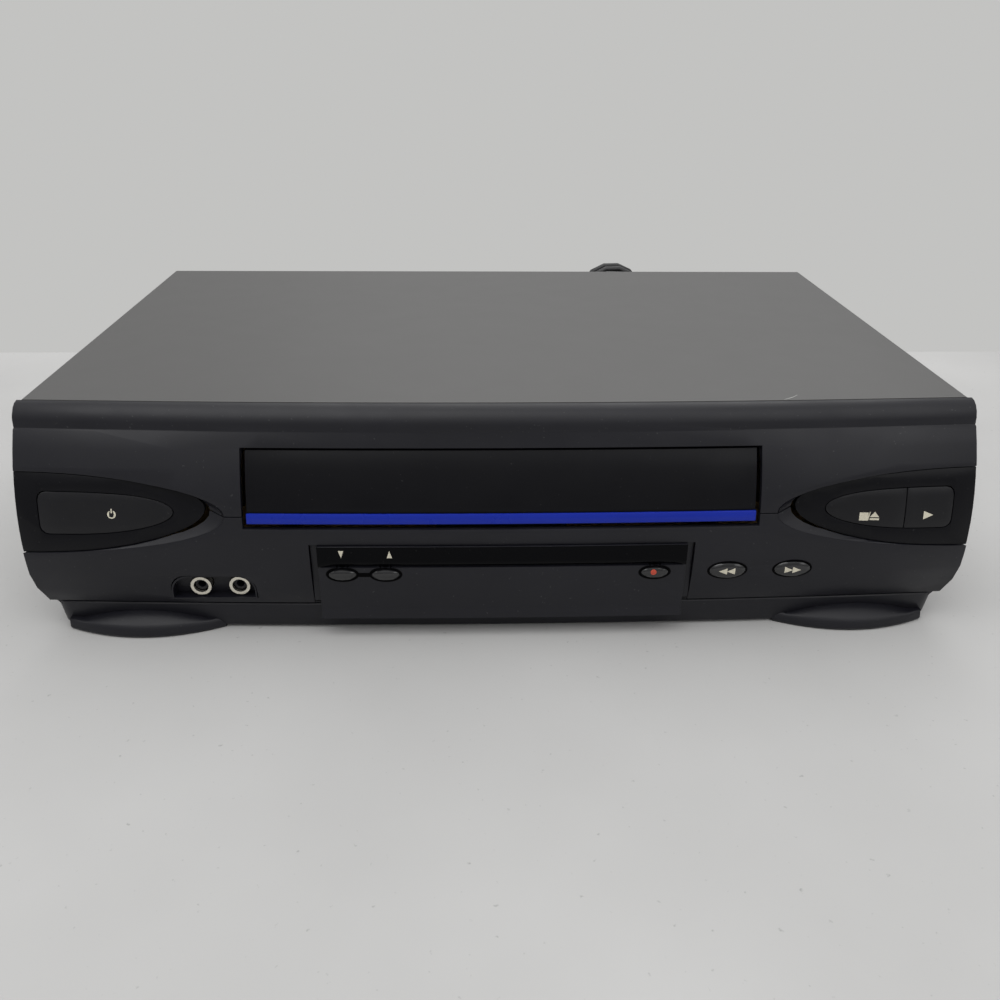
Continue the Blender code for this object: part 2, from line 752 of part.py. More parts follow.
def split_outline(above):
    """Return the outline, right end to left, of what lies above or below the split line."""
    shift = GAP / 2 if above else -GAP / 2
    edge = eye_edges(GAP / 2)[0 if above else 1]
    tip = (SCOOP_TIP_X, SCOOP_TIP_Z + shift)
    right = [(x, z) for x, z in reversed(edge)]
    right[-1] = (right[-1][0], EYE_TIP_Z + shift)
    border = right + [tip] + [(-x, z) for x, z in reversed(right + [tip])]
    far_z = CASE_HEIGHT + OVERRUN if above else PANEL_BOTTOM_Z - OVERRUN
    far_x = PANEL_HALF_WIDTH + OVERRUN
    return border + [(-far_x, far_z), (far_x, far_z)]


def through_front(outline):
    """Extrude an (x, z) outline through the whole front."""
    return prism(outline, SEAM_Y - FRONT_REACH - OVERRUN, SEAM_Y + NECK_DEPTH + OVERRUN, "Y")


def patch(x_low, x_high, z_low, z_high, front, thickness, columns, rows):
    """Return a slab whose front follows front(x, z) and whose back lies thickness behind."""
    rings = []
    for column in range(columns + 1):
        x = x_low + (x_high - x_low) * column / columns
        levels = [z_low + (z_high - z_low) * row / rows for row in range(rows + 1)]
        near = [(x, front(x, z), z) for z in levels]
        far = [(x, front(x, z) + thickness, z) for z in reversed(levels)]
        rings.append(near + far)
    return loft(rings)


# Case pieces

def base_ring(half_width, reach, z, rear, grow=0.0):
    """Return the base's outline at one level, its front bowed like the panel."""
    half_width = half_width + grow
    ring = []
    for step in range(BASE_STEPS + 1):
        x = half_width * (2 * step / BASE_STEPS - 1)
        ring.append((x, SEAM_Y - reach - grow - bow(x), z))
    return ring + [(half_width, rear + grow, z), (-half_width, rear + grow, z)]


def base_body(grow=0.0):
    """Loft the base from its bottom to its rim."""
    rear = REAR_Y - BASE_REAR_INSET
    return loft([base_ring(BASE_BOTTOM_HALF_WIDTH, BASE_BOTTOM_REACH, BASE_BOTTOM_Z - grow, rear, grow),
                 base_ring(BASE_RIM_HALF_WIDTH, BASE_RIM_REACH, BASE_RIM_Z + grow, rear, grow)])


def post_places():
    """Return where the chassis posts stand and the height of what each carries."""
    inset = 2 * POST_RADIUS
    deck = [(x, SEAM_Y + y, DECK_Z) for x in (-DECK_HALF_WIDTH + inset, DECK_HALF_WIDTH - inset)
            for y in (DECK_FRONT_Y + inset, DECK_REAR_Y - inset)]
    boards = [(side * x, SEAM_Y + y, BOARD_Z) for side in (-1, 1)
              for x in (BOARD_INNER_X + inset, BASE_BOTTOM_HALF_WIDTH - inset)
              for y in (BOARD_FRONT_Y + inset, COVER_DEPTH - BOARD_REAR_INSET - inset)]
    return deck + boards


def bottom_chassis(material):
    """Mould the base: a dished tray with posts for the deck and the boards, and floor vents."""
    tray = base_body()
    rear = REAR_Y - BASE_REAR_INSET - WALL
    hollow = loft([
        base_ring(BASE_BOTTOM_HALF_WIDTH - WALL, BASE_BOTTOM_REACH - WALL, FLOOR_TOP_Z, rear),
        base_ring(BASE_RIM_HALF_WIDTH - WALL, BASE_RIM_REACH - WALL, BASE_RIM_Z + OVERRUN, rear)])
    cut(tray, hollow)
    join(tray, gathered([rod(POST_RADIUS, (x, y, FLOOR_TOP_Z - WALL / 2), (x, y, top - GAP), ROUND_STEPS // 2)
                         for x, y, top in post_places()]))
    slots = []
    for side in (-1, 1):
        for index in range(VENT_COUNT):
            x = side * (BOARD_INNER_X + BOARD_OUTER_X) / 2 + (index - (VENT_COUNT - 1) / 2) * VENT_PITCH
            low = (x - VENT_WIDTH / 2, SEAM_Y + COVER_DEPTH / 2 - BASE_VENT_LENGTH / 2)
            high = (x + VENT_WIDTH / 2, SEAM_Y + COVER_DEPTH / 2 + BASE_VENT_LENGTH / 2)
            slots.append(prism(rounded_rectangle(low, high, VENT_WIDTH / 2 - GAP, 1),
                               BASE_BOTTOM_Z - OVERRUN, FLOOR_TOP_Z + OVERRUN, "Z"))
    cut(tray, gathered(slots))
    return finish(tray, "bottom_chassis", material)


def front_foot(side, name, material):
    """Loft one front foot: a lens-shaped toe that leans out under the base."""
    def ring(bulge, inset, z):
        points = []
        for step in range(FOOT_STEPS + 1):
            share = 2 * step / FOOT_STEPS - 1
            x = share * (FRONT_FOOT_HALF_WIDTH - inset)
            y = SEAM_Y - FRONT_FOOT_REACH - bow(FRONT_FOOT_X) - (bulge - inset) * (1 - share ** 2)
            points.append((side * FRONT_FOOT_X + x, y, z))
        back = SEAM_Y - FRONT_FOOT_REACH + FRONT_FOOT_BACK - inset
        points.append((side * FRONT_FOOT_X + FRONT_FOOT_HALF_WIDTH - inset, back, z))
        points.append((side * FRONT_FOOT_X - FRONT_FOOT_HALF_WIDTH + inset, back, z))
        return points
    foot = loft([ring(FRONT_FOOT_BULGE, FRONT_FOOT_SOLE_INSET, 0.0),
                 ring(FRONT_FOOT_BULGE, 0.0, FRONT_FOOT_EDGE_Z),
                 ring(GAP, 0.0, FRONT_FOOT_TOP_Z)])
    cut(foot, base_body(GAP))
    return finish(foot, name, material)


def rear_foot(side, name, material):
    """Turn one round rear foot that is pushed into the base's floor."""
    place = (side * REAR_FOOT_X, REAR_Y - REAR_FOOT_INSET, 0.0)
    top = BASE_BOTTOM_Z - GAP
    profile = [(0, 0), (REAR_FOOT_RADIUS - REAR_FOOT_CHAMFER, 0), (REAR_FOOT_RADIUS, REAR_FOOT_CHAMFER),
               (REAR_FOOT_RADIUS, top), (0, top)]
    return finish(turned(profile, place), name, material)


def top_cover(material):
    """Bend the sheet cover: a wide channel with a bowed front edge and a rear flange."""
    half, radius = COVER_HALF_WIDTH, COVER_BEND_RADIUS
    outer, inner = [], []
    for step in range(ARC_STEPS + 1):
        angle = step / ARC_STEPS * math.pi / 2
        reach_x, reach_z = math.cos(angle), math.sin(angle)
        outer.append((half - radius + radius * reach_x, CASE_HEIGHT - radius + radius * reach_z))
        small = radius - SHEET
        inner.append((half - radius + small * reach_x, CASE_HEIGHT - radius + small * reach_z))
    right = [(half, COVER_SIDE_BOTTOM)] + outer
    right_inner = [(half - SHEET, COVER_SIDE_BOTTOM)] + inner
    outline = right + mirrored(right) + list(reversed(mirrored(right_inner))) + list(reversed(right_inner))
    cover = prism(outline, SEAM_Y - PANEL_BOW - OVERRUN, REAR_Y, "Y")
    flange = block((-half + COVER_FLANGE_INSET, REAR_Y - SHEET, CASE_HEIGHT - COVER_FLANGE_HEIGHT),
                   (half - COVER_FLANGE_INSET, REAR_Y, CASE_HEIGHT - SHEET / 2))
    join(cover, flange)
    edge = []
    for step in range(PANEL_STATIONS + 1):
        x = (half + OVERRUN) * (2 * step / PANEL_STATIONS - 1)
        edge.append((x, SEAM_Y + GAP / 2 - max(bow(x), 0)))
    front_trim = edge + [(half + OVERRUN, SEAM_Y - PANEL_BOW - 2 * OVERRUN),
                         (-half - OVERRUN, SEAM_Y - PANEL_BOW - 2 * OVERRUN)]
    cut(cover, prism(front_trim, COVER_SIDE_BOTTOM - OVERRUN, CASE_HEIGHT + OVERRUN, "Z"))
    for index in range(VENT_COUNT):
        y = SEAM_Y + SIDE_VENT_Y + index * VENT_PITCH
        low = (y - VENT_WIDTH / 2, SIDE_VENT_Z - SIDE_VENT_HEIGHT / 2)
        high = (y + VENT_WIDTH / 2, SIDE_VENT_Z + SIDE_VENT_HEIGHT / 2)
        slot = prism(rounded_rectangle(low, high, VENT_WIDTH / 2 - GAP, 1), -half - OVERRUN, half + OVERRUN, "X")
        cut(cover, slot)
    for side in (-1, 1):
        centre = (side * SCREW_X, REAR_Y, CASE_HEIGHT - COVER_FLANGE_HEIGHT / 2)
        hole_end = (centre[0], REAR_Y - SHEET - OVERRUN, centre[2])
        cut(cover, rod(SCREW_SHANK_RADIUS + GAP, (centre[0], REAR_Y + OVERRUN, centre[2]), hole_end,
                       ROUND_STEPS // 2))
    return finish(cover, "top_cover", material)


def cover_screw(side, name, material):
    """Turn one pan-head screw that holds the cover's flange to a boss of the rear panel."""
    place = (side * SCREW_X, REAR_Y + GAP, CASE_HEIGHT - COVER_FLANGE_HEIGHT / 2)
    profile = [(0, -SCREW_SHANK_LENGTH), (SCREW_SHANK_RADIUS, -SCREW_SHANK_LENGTH), (SCREW_SHANK_RADIUS, 0),
               (SCREW_HEAD_RADIUS, 0), (SCREW_HEAD_RADIUS * SCREW_DOME_SHARE, SCREW_HEAD_HEIGHT),
               (0, SCREW_HEAD_HEIGHT)]
    screw = turned(profile, place, (0, 1, 0), ROUND_STEPS // 2)
    return finish(screw, name, material)


def hinge_bracket(side):
    """Return the ear behind the front panel that one door pin turns in."""
    x = side * (DOOR_HALF_WIDTH + BRACKET_GAP)
    reach = bow(x)
    front_low = SEAM_Y - face_reach(BRACKET_BOTTOM_Z) - reach + WALL + GAP
    front_mid = face_y(x, CREASE_Z) + WALL / 2
    front_top = SEAM_Y - reach - WALL / 2
    back = DOOR_HINGE_Y + 2 * DOOR_EAR_RADIUS
    top = CASE_HEIGHT - WALL / 2
    outline = [(front_low, BRACKET_BOTTOM_Z), (back, BRACKET_BOTTOM_Z), (back, DOOR_HINGE_Z + DOOR_EAR_RADIUS),
               (front_top, top), (front_top - WALL, top), (front_mid, CREASE_Z)]
    ear = prism(outline, x, x + side * BRACKET_THICKNESS, "X")
    pin_hole = rod(DOOR_PIN_RADIUS + GAP, (x - side * OVERRUN, DOOR_HINGE_Y, DOOR_HINGE_Z),
                   (x + side * OVERRUN, DOOR_HINGE_Y, DOOR_HINGE_Z), ROUND_STEPS // 2)
    return cut(ear, pin_hole)


def front_panel_upper(shell, material):
    """Clip the upper moulding out of the front and give it the mouth's top and the hinge ears."""
    clip(shell, through_front(split_outline(True)))
    mouth = [(-MOUTH_HALF_WIDTH, SILL_Z), (MOUTH_HALF_WIDTH, SILL_Z),
             (MOUTH_HALF_WIDTH, MOUTH_TOP_Z), (-MOUTH_HALF_WIDTH, MOUTH_TOP_Z)]
    cut(shell, through_front(mouth))
    for side in (-1, 1):
        cut(shell, scoop(side))
        join(shell, hinge_bracket(side))
    return finish(shell, "front_panel_upper", material)


def socket_recess(margin=0.0):
    """Return the outline of the pocket round the front sockets, arched at its upper corners."""
    low_x, high_x = SOCKET_RECESS_LEFT_X - margin, SOCKET_RECESS_RIGHT_X + margin
    low_z, high_z = PANEL_BOTTOM_Z + WALL - margin, SOCKET_RECESS_TOP_Z + margin
    corner = SOCKET_RECESS_CORNER
    outline = [(low_x, low_z), (high_x, low_z)]
    for centre_x, quarter in ((high_x - corner, 0), (low_x + corner, 1)):
        for step in range(ARC_STEPS + 1):
            angle = (quarter + step / ARC_STEPS) * math.pi / 2
            outline.append((centre_x + corner * math.cos(angle), high_z - corner + corner * math.sin(angle)))
    return outline


def front_panel_lower(shell, material):
    """Clip the lower moulding out of the front and cut its sill, bezel seat, pockets and wells."""
    clip(shell, through_front(split_outline(False)))
    mouth = [(-MOUTH_HALF_WIDTH, SILL_Z), (MOUTH_HALF_WIDTH, SILL_Z),
             (MOUTH_HALF_WIDTH, MOUTH_TOP_Z), (-MOUTH_HALF_WIDTH, MOUTH_TOP_Z)]
    seat_half = BEZEL_HALF_WIDTH + BEZEL_FLANGE_WIDTH + GAP
    seat = [(-seat_half, PANEL_BOTTOM_Z - OVERRUN), (seat_half, PANEL_BOTTOM_Z - OVERRUN),
            (seat_half, BEZEL_TOP_Z + GAP), (-seat_half, BEZEL_TOP_Z + GAP)]
    cut(shell, through_front(mouth), through_front(seat), through_front(socket_recess()))
    for x in (REWIND_X, FORWARD_X):
        cut(shell, through_front(ellipse((x, SEARCH_Z), SEARCH_HALF_WIDTH + GAP, SEARCH_HALF_HEIGHT + GAP)))
    for side in (-1, 1):
        cut(shell, scoop(side))
        for x, z in OPERATION_BOARD_BOSSES:
            boss = rod(POST_RADIUS, (side * x, face_y(x, z) + WALL / 2, z),
                       (side * x, SEAM_Y + OPERATION_BOARD_Y - GAP, z), ROUND_STEPS // 2)
            join(shell, boss)
    return finish(shell, "front_panel_lower", material)


def eye_button_outline(grow=0.0):
    """Return the ogive outline of the large buttons at the right end, rounded at its outer end."""
    tip_x, end_x = EYE_BUTTON_TIP_X - grow, EYE_BUTTON_END_X + grow
    half = EYE_BUTTON_HALF_HEIGHT + grow
    upper = []
    for step in range(EYE_STEPS):
        share = (step / EYE_STEPS) ** 2
        lift = math.sqrt(1 - (1 - share) ** EYE_BUTTON_POWER)
        upper.append((tip_x + (end_x - EYE_BUTTON_CORNER - tip_x) * share, lift * half))
    corner = EYE_BUTTON_CORNER
    for step in range(ARC_STEPS // 2 + 1):
        angle = math.pi / 2 * (1 - step / (ARC_STEPS // 2))
        upper.append((end_x - corner + corner * math.cos(angle), half - corner + corner * math.sin(angle)))
    lower = [(x, -z) for x, z in reversed(upper[1:])]
    return [(x, EYE_BUTTON_Z + z) for x, z in upper + lower]


def kept_side(outline, limit, side):
    """Return the part of an outline that lies left (-1) or right (1) of x = limit."""
    kept = []
    for index, point in enumerate(outline):
        before = outline[index - 1]
        inside, was_inside = side * (point[0] - limit) > 0, side * (before[0] - limit) > 0
        if inside != was_inside:
            share = (limit - before[0]) / (point[0] - before[0])
            kept.append((limit, before[1] + (point[1] - before[1]) * share))
        if inside:
            kept.append(point)
    return kept


def eye_front(x, z):
    """Return the world Y of the eye's glossy surface."""
    return face_y(x, z) + eye_sink(x)


def eye_panel(side, name, material):
    """Make one glossy eye with its cheek round the panel's end and the hole for its buttons."""
    end = PANEL_HALF_WIDTH
    low_x, high_x = sorted((side * (EYE_TIP_X - GAP), side * end))
    eye = patch(low_x, high_x, EYE_BOTTOM_Z - WALL, EYE_TOP_Z + WALL, eye_front, EYE_THICKNESS, 9, 6)
    levels = [EYE_BOTTOM_Z + (EYE_TOP_Z - EYE_BOTTOM_Z) * step / ARC_STEPS for step in range(ARC_STEPS + 1)]
    cheek = [(eye_front(end, z) + WALL / 2, z) for z in levels]
    cheek += [(SEAM_Y - GAP, EYE_TOP_Z), (SEAM_Y - GAP, EYE_BOTTOM_Z)]
    join(eye, prism(cheek, side * end, side * (NECK_HALF_WIDTH + GAP), "X"))
    outline = closed_eye(-GAP / 2)
    hole = eye_button_outline(GAP)
    if side < 0:
        outline, hole = mirrored(outline), mirrored(hole)
    clip(eye, through_front(outline))
    cut(eye, through_front(hole))
    return finish(eye, name, material)


def stem(x, z, start_y):
    """Return the round stem that carries a button's push to its switch."""
    return rod(STEM_RADIUS, (x, start_y, z), (x, SWITCH_FACE_Y - BUTTON_TRAVEL - GAP, z), ROUND_STEPS // 2)


def eye_button(outline, name, material):
    """Clip one large button out of the eye's surface and give it a stem."""
    xs = [x for x, _ in outline]
    centre = ((min(xs) + max(xs)) / 2, EYE_BUTTON_Z)
    half = EYE_BUTTON_HALF_HEIGHT + GAP
    cap = patch(min(xs) - GAP, max(xs) + GAP, EYE_BUTTON_Z - half, EYE_BUTTON_Z + half,
                eye_front, EYE_BUTTON_THICKNESS, 6, 4)
    clip(cap, through_front(outline))
    join(cap, stem(*centre, eye_front(*centre) + EYE_BUTTON_THICKNESS / 2))
    return finish(cap, name, material, (centre[0], eye_front(*centre), centre[1]))


def oval_button(centre, half_width, half_height, front, name, material):
    """Loft one domed oval button with its stem."""
    surface = front(*centre) - BUTTON_PROUD
    levels = [(1.0, surface + BUTTON_BODY), (1.0, surface)]
    for step in range(1, DOME_STEPS):
        angle = step / DOME_STEPS * math.pi / 2
        levels.append((math.cos(angle), surface - BUTTON_DOME * math.sin(angle)))
    rings = []
    for share, y in levels:
        outline = ellipse(centre, half_width * share, half_height * share, ROUND_STEPS)
        rings.append([(x, y, z) for x, z in outline])
    cap = loft(rings)
    join(cap, stem(*centre, surface + BUTTON_BODY / 2))
    return finish(cap, name, material, (centre[0], surface, centre[1]))


def bezel_front(x, z):
    """Return the world Y of the display bezel: it leaves the bulge and drops nearly plumb."""
    follow = max(z, BULGE_Z)
    lip = BEZEL_LIP_PROUD if z < BEZEL_BOTTOM_Z + BEZEL_LIP_HEIGHT else 0.0
    return face_y(x, follow) - BEZEL_PROUD - lip


def display_bezel(material):
    """Make the raised bezel with its lip, window seat, button wells and rear flange."""
    half = BEZEL_HALF_WIDTH
    lip_z = BEZEL_BOTTOM_Z + BEZEL_LIP_HEIGHT
    bezel = patch(-half, half, lip_z - GAP / 2, BEZEL_TOP_Z, bezel_front, BEZEL_THICKNESS, 8, 5)
    join(bezel, patch(-half, half, BEZEL_BOTTOM_Z, lip_z - GAP / 3, bezel_front, BEZEL_THICKNESS, 8, 1))

    def flange_front(x, z):
        return face_y(x, BULGE_Z) + BEZEL_FLANGE_SINK - BEZEL_THICKNESS

    wide = half + BEZEL_FLANGE_WIDTH
    join(bezel, patch(-wide, wide, BEZEL_FLANGE_BOTTOM_Z, BEZEL_TOP_Z - GAP, flange_front,
                      BEZEL_THICKNESS, 8, 1))

    def seat_front(x, z):
        return bezel_front(x, z) - OVERRUN

    seat_depth = OVERRUN + WINDOW_THICKNESS + GAP
    cut(bezel, patch(-half + WINDOW_MARGIN, half - WINDOW_MARGIN, WINDOW_BOTTOM_Z,
                     BEZEL_TOP_Z - WINDOW_MARGIN, seat_front, seat_depth, 8, 2))
    sight_half = DISPLAY_TUBE_HALF_WIDTH - WALL
    sight = rounded_rectangle((-sight_half, WINDOW_BOTTOM_Z + WINDOW_MARGIN),
                              (sight_half, BEZEL_TOP_Z - 2 * WINDOW_MARGIN), WINDOW_MARGIN, 2)
    cut(bezel, through_front(sight))
    for x in (CHANNEL_DOWN_X, CHANNEL_UP_X, RECORD_X):
        cut(bezel, through_front(ellipse((x, BEZEL_BUTTON_Z), BEZEL_BUTTON_HALF_WIDTH + GAP,
                                         BEZEL_BUTTON_HALF_HEIGHT + GAP)))
    for side in (-1, 1):
        x, z = side * (half - 2 * POST_RADIUS), BEZEL_FLANGE_BOTTOM_Z + 2 * POST_RADIUS
        join(bezel, rod(POST_RADIUS, (x, bezel_front(x, z) + BEZEL_THICKNESS / 2, z),
                        (x, SEAM_Y + OPERATION_BOARD_Y - GAP, z), ROUND_STEPS // 2))
    return finish(bezel, "display_bezel", material)


def display_window(material):
    """Make the smoked strip that lies in the bezel's seat."""
    edge = BEZEL_HALF_WIDTH - WINDOW_MARGIN - GAP
    window = patch(-edge, edge, WINDOW_BOTTOM_Z + GAP, BEZEL_TOP_Z - WINDOW_MARGIN - GAP,
                   bezel_front, WINDOW_THICKNESS, 8, 2)
    return finish(window, "display_window", material)


def cassette_door(material):
    """Make the flap with its two ears and hinge pins."""
    def front(x, z):
        return face_y(x, z) + DOOR_SINK

    half = DOOR_HALF_WIDTH
    door = patch(-half, half, DOOR_BOTTOM_Z, DOOR_TOP_Z, front, DOOR_THICKNESS, 8, 4)
    for side in (-1, 1):
        x = side * half
        low_z = DOOR_TOP_Z - 3 * DOOR_EAR_RADIUS
        ear = [(front(x, low_z) + DOOR_THICKNESS / 2, low_z),
               (front(x, low_z) + DOOR_THICKNESS + DOOR_EAR_RADIUS, low_z)]
        for step in range(ARC_STEPS + 1):
            angle = math.pi * (step / ARC_STEPS - 1 / 4)
            ear.append((DOOR_HINGE_Y + DOOR_EAR_RADIUS * math.cos(angle),
                        DOOR_HINGE_Z + DOOR_EAR_RADIUS * math.sin(angle)))
        ear.append((front(x, DOOR_TOP_Z) + DOOR_THICKNESS / 2, DOOR_TOP_Z - DOOR_EAR_RADIUS))
        join(door, prism(ear, x - side * GAP, x - side * DOOR_EAR_WIDTH, "X"))
        join(door, rod(DOOR_PIN_RADIUS, (x - side * DOOR_EAR_WIDTH / 2, DOOR_HINGE_Y, DOOR_HINGE_Z),
                       (x + side * DOOR_PIN_LENGTH, DOOR_HINGE_Y, DOOR_HINGE_Z), ROUND_STEPS // 2))
    return finish(door, "cassette_door", material, (0, DOOR_HINGE_Y, DOOR_HINGE_Z))


def door_bar(material):
    """Make the coloured strip along the door's lower edge."""
    def front(x, z):
        return face_y(x, z) + BAR_SINK

    bar = patch(-DOOR_HALF_WIDTH, DOOR_HALF_WIDTH, DOOR_BOTTOM_Z, DOOR_BOTTOM_Z + BAR_HEIGHT,
                front, DOOR_SINK - BAR_SINK - GAP, 8, 2)
    return finish(bar, "door_bar", material, (0, DOOR_HINGE_Y, DOOR_HINGE_Z))


def ground_plate(places, y_low, y_high, grow=0.0):
    """Return the plate that joins the sleeves, with a tab that stands out above the block."""
    xs = [x for x, _ in places]
    zs = [z for _, z in places]
    margin = SLEEVE_RADIUS + GAP + grow
    plate = prism(rounded_rectangle((min(xs) - margin, min(zs) - margin), (max(xs) + margin, max(zs) + margin),
                                    SLEEVE_RADIUS, 2), y_low - grow, y_high + grow, "Y")
    middle, half = sum(xs) / len(xs), GROUND_TAB_WIDTH / 2 + grow
    tab_top = max(zs) + REAR_BLOCK_MARGIN + WALL
    tab = block((middle - half, y_low - grow, max(zs)), (middle + half, y_high + grow, tab_top))
    return join(plate, tab)


def socket_sleeves(places, front_y, plate_y, direction, name, material):
    """Turn socket sleeves and fuse them to the ground plate that joins them."""
    plate = ground_plate(places, *sorted((plate_y, plate_y - direction * GROUND_PLATE)))
    join(plate, gathered([rod(SLEEVE_RADIUS, (x, plate_y - direction * GROUND_PLATE / 2, z), (x, front_y, z),
                              SOCKET_STEPS) for x, z in places]))
    cut(plate, gathered([rod(SLEEVE_BORE, (x, plate_y - direction * OVERRUN, z),
                             (x, front_y + direction * OVERRUN, z), SOCKET_STEPS) for x, z in places]))
    return finish(plate, name, material)


def cut_sockets(body, places, front_y, core_y, plate_y, direction):
    """Cut the seats for plate and sleeves into a block and leave cores with a contact hole."""
    plate_back = plate_y - direction * GROUND_PLATE
    cut(body, ground_plate(places, *sorted((plate_y, plate_back)), GAP))
    cut(body, gathered([rod(SLEEVE_RADIUS + GAP, (x, plate_y - direction * GAP, z),
                            (x, front_y + direction * OVERRUN, z), SOCKET_STEPS) for x, z in places]))
    join(body, gathered([rod(SLEEVE_BORE - GAP, (x, plate_back - direction * WALL, z), (x, core_y, z),
                             SOCKET_STEPS) for x, z in places]))
    cut(body, gathered([rod(CORE_HOLE, (x, plate_back, z), (x, core_y + direction * OVERRUN, z),
                            SOCKET_STEPS // 2) for x, z in places]))
    return body



def front_sockets(block_material, sleeve_material):
    """Make the front socket block, its pocket let into the panel, and its sleeves."""
    places = [(x, FRONT_SOCKET_Z) for x in FRONT_SOCKET_X]
    middle_x = sum(FRONT_SOCKET_X) / 2
    surface = face_y(middle_x, SOCKET_RECESS_TOP_Z)
    recess_floor = surface + SOCKET_RECESS_DEPTH
    plate_y = recess_floor + SLEEVE_SEAT
    back = SEAM_Y + OPERATION_BOARD_Y - GAP
    body = prism(socket_recess(-GAP), recess_floor, back, "Y")
    cut_sockets(body, places, recess_floor, recess_floor - SLEEVE_PROUD / 2, plate_y, -1)
    rim = prism(socket_recess(-GAP), surface + SOCKET_RIM, recess_floor + WALL / 2, "Y")
    cut(rim, prism(socket_recess(-GAP - SOCKET_RIM), surface - OVERRUN, recess_floor + OVERRUN, "Y"))
    finish(join(body, rim), "front_socket_block", block_material)
    return socket_sleeves(places, recess_floor - SLEEVE_PROUD, plate_y, -1, "front_socket_sleeves",
                          sleeve_material)


def rear_sockets(block_material, sleeve_material):
    """Make the rear socket block, which stands on the main board, and its sleeves."""
    places = rear_socket_places()
    front, back = REAR_FACE_Y + GAP, REAR_FACE_Y - REAR_BLOCK_DEPTH
    plate_y = REAR_FACE_Y - SLEEVE_SEAT
    body = prism(rear_block_outline(), back, front, "Y")
    middle = sum(REAR_SOCKET_X) / len(REAR_SOCKET_X)
    foot_end = REAR_Y - BOARD_REAR_INSET - WALL / 2
    foot = block((middle - 2 * WALL, back + WALL / 2, BOARD_Z + BOARD + GAP),
                 (middle + 2 * WALL, foot_end, min(REAR_SOCKET_Z) - SLEEVE_RADIUS - WALL / 2))
    join(body, foot)
    cut_sockets(body, places, front, front + REAR_SLEEVE_PROUD / 2, plate_y, 1)
    finish(body, "rear_socket_block", block_material)
    return socket_sleeves(places, REAR_FACE_Y + REAR_SLEEVE_PROUD, plate_y, 1, "rear_socket_sleeves",
                          sleeve_material)


def operation_board(material):
    """Cut the upright board behind the front, high at both ends, with a switch at each button."""
    half, step_x = OPERATION_BOARD_HALF_WIDTH, OPERATION_BOARD_STEP_X
    low, middle, top = OPERATION_BOARD_BOTTOM_Z, OPERATION_BOARD_MIDDLE_Z, OPERATION_BOARD_TOP_Z
    outline = [(-half, low), (half, low), (half, top), (step_x, top), (step_x, middle),
               (-step_x, middle), (-step_x, top), (-half, top)]
    face = SEAM_Y + OPERATION_BOARD_Y
    board = prism(outline, face, face + BOARD, "Y")
    for x, z in button_places():
        switch = prism(rounded_rectangle((x - SWITCH_HALF_WIDTH, z - SWITCH_HALF_WIDTH),
                                         (x + SWITCH_HALF_WIDTH, z + SWITCH_HALF_WIDTH), WINDOW_MARGIN, 1),
                       SWITCH_FACE_Y, face + BOARD / 2, "Y")
        join(board, switch)
    return finish(board, "operation_board", material)


def button_places():
    """Return the (x, z) centre of every button, which is also its switch's."""
    middle = (EYE_BUTTON_TIP_X + EYE_BUTTON_END_X) / 2
    stop = (EYE_BUTTON_TIP_X + PLAY_DIVIDE_X - GAP / 2) / 2
    play = (PLAY_DIVIDE_X + GAP / 2 + EYE_BUTTON_END_X) / 2
    return [(-middle, EYE_BUTTON_Z), (stop, EYE_BUTTON_Z), (play, EYE_BUTTON_Z), (REWIND_X, SEARCH_Z),
            (FORWARD_X, SEARCH_Z), (CHANNEL_DOWN_X, BEZEL_BUTTON_Z), (CHANNEL_UP_X, BEZEL_BUTTON_Z),
            (RECORD_X, BEZEL_BUTTON_Z)]


def display_tube(material):
    """Make the fluorescent display behind the window, standing on its board."""
    half, radius = DISPLAY_TUBE_HALF_WIDTH, WINDOW_MARGIN
    back = SEAM_Y + OPERATION_BOARD_Y - GAP
    outline = rounded_rectangle((-half, DISPLAY_TUBE_BOTTOM_Z),
                                (half, DISPLAY_TUBE_BOTTOM_Z + DISPLAY_TUBE_HEIGHT), radius, 2)
    return finish(prism(outline, back - DISPLAY_TUBE_DEPTH, back, "Y"), "display_tube", material)


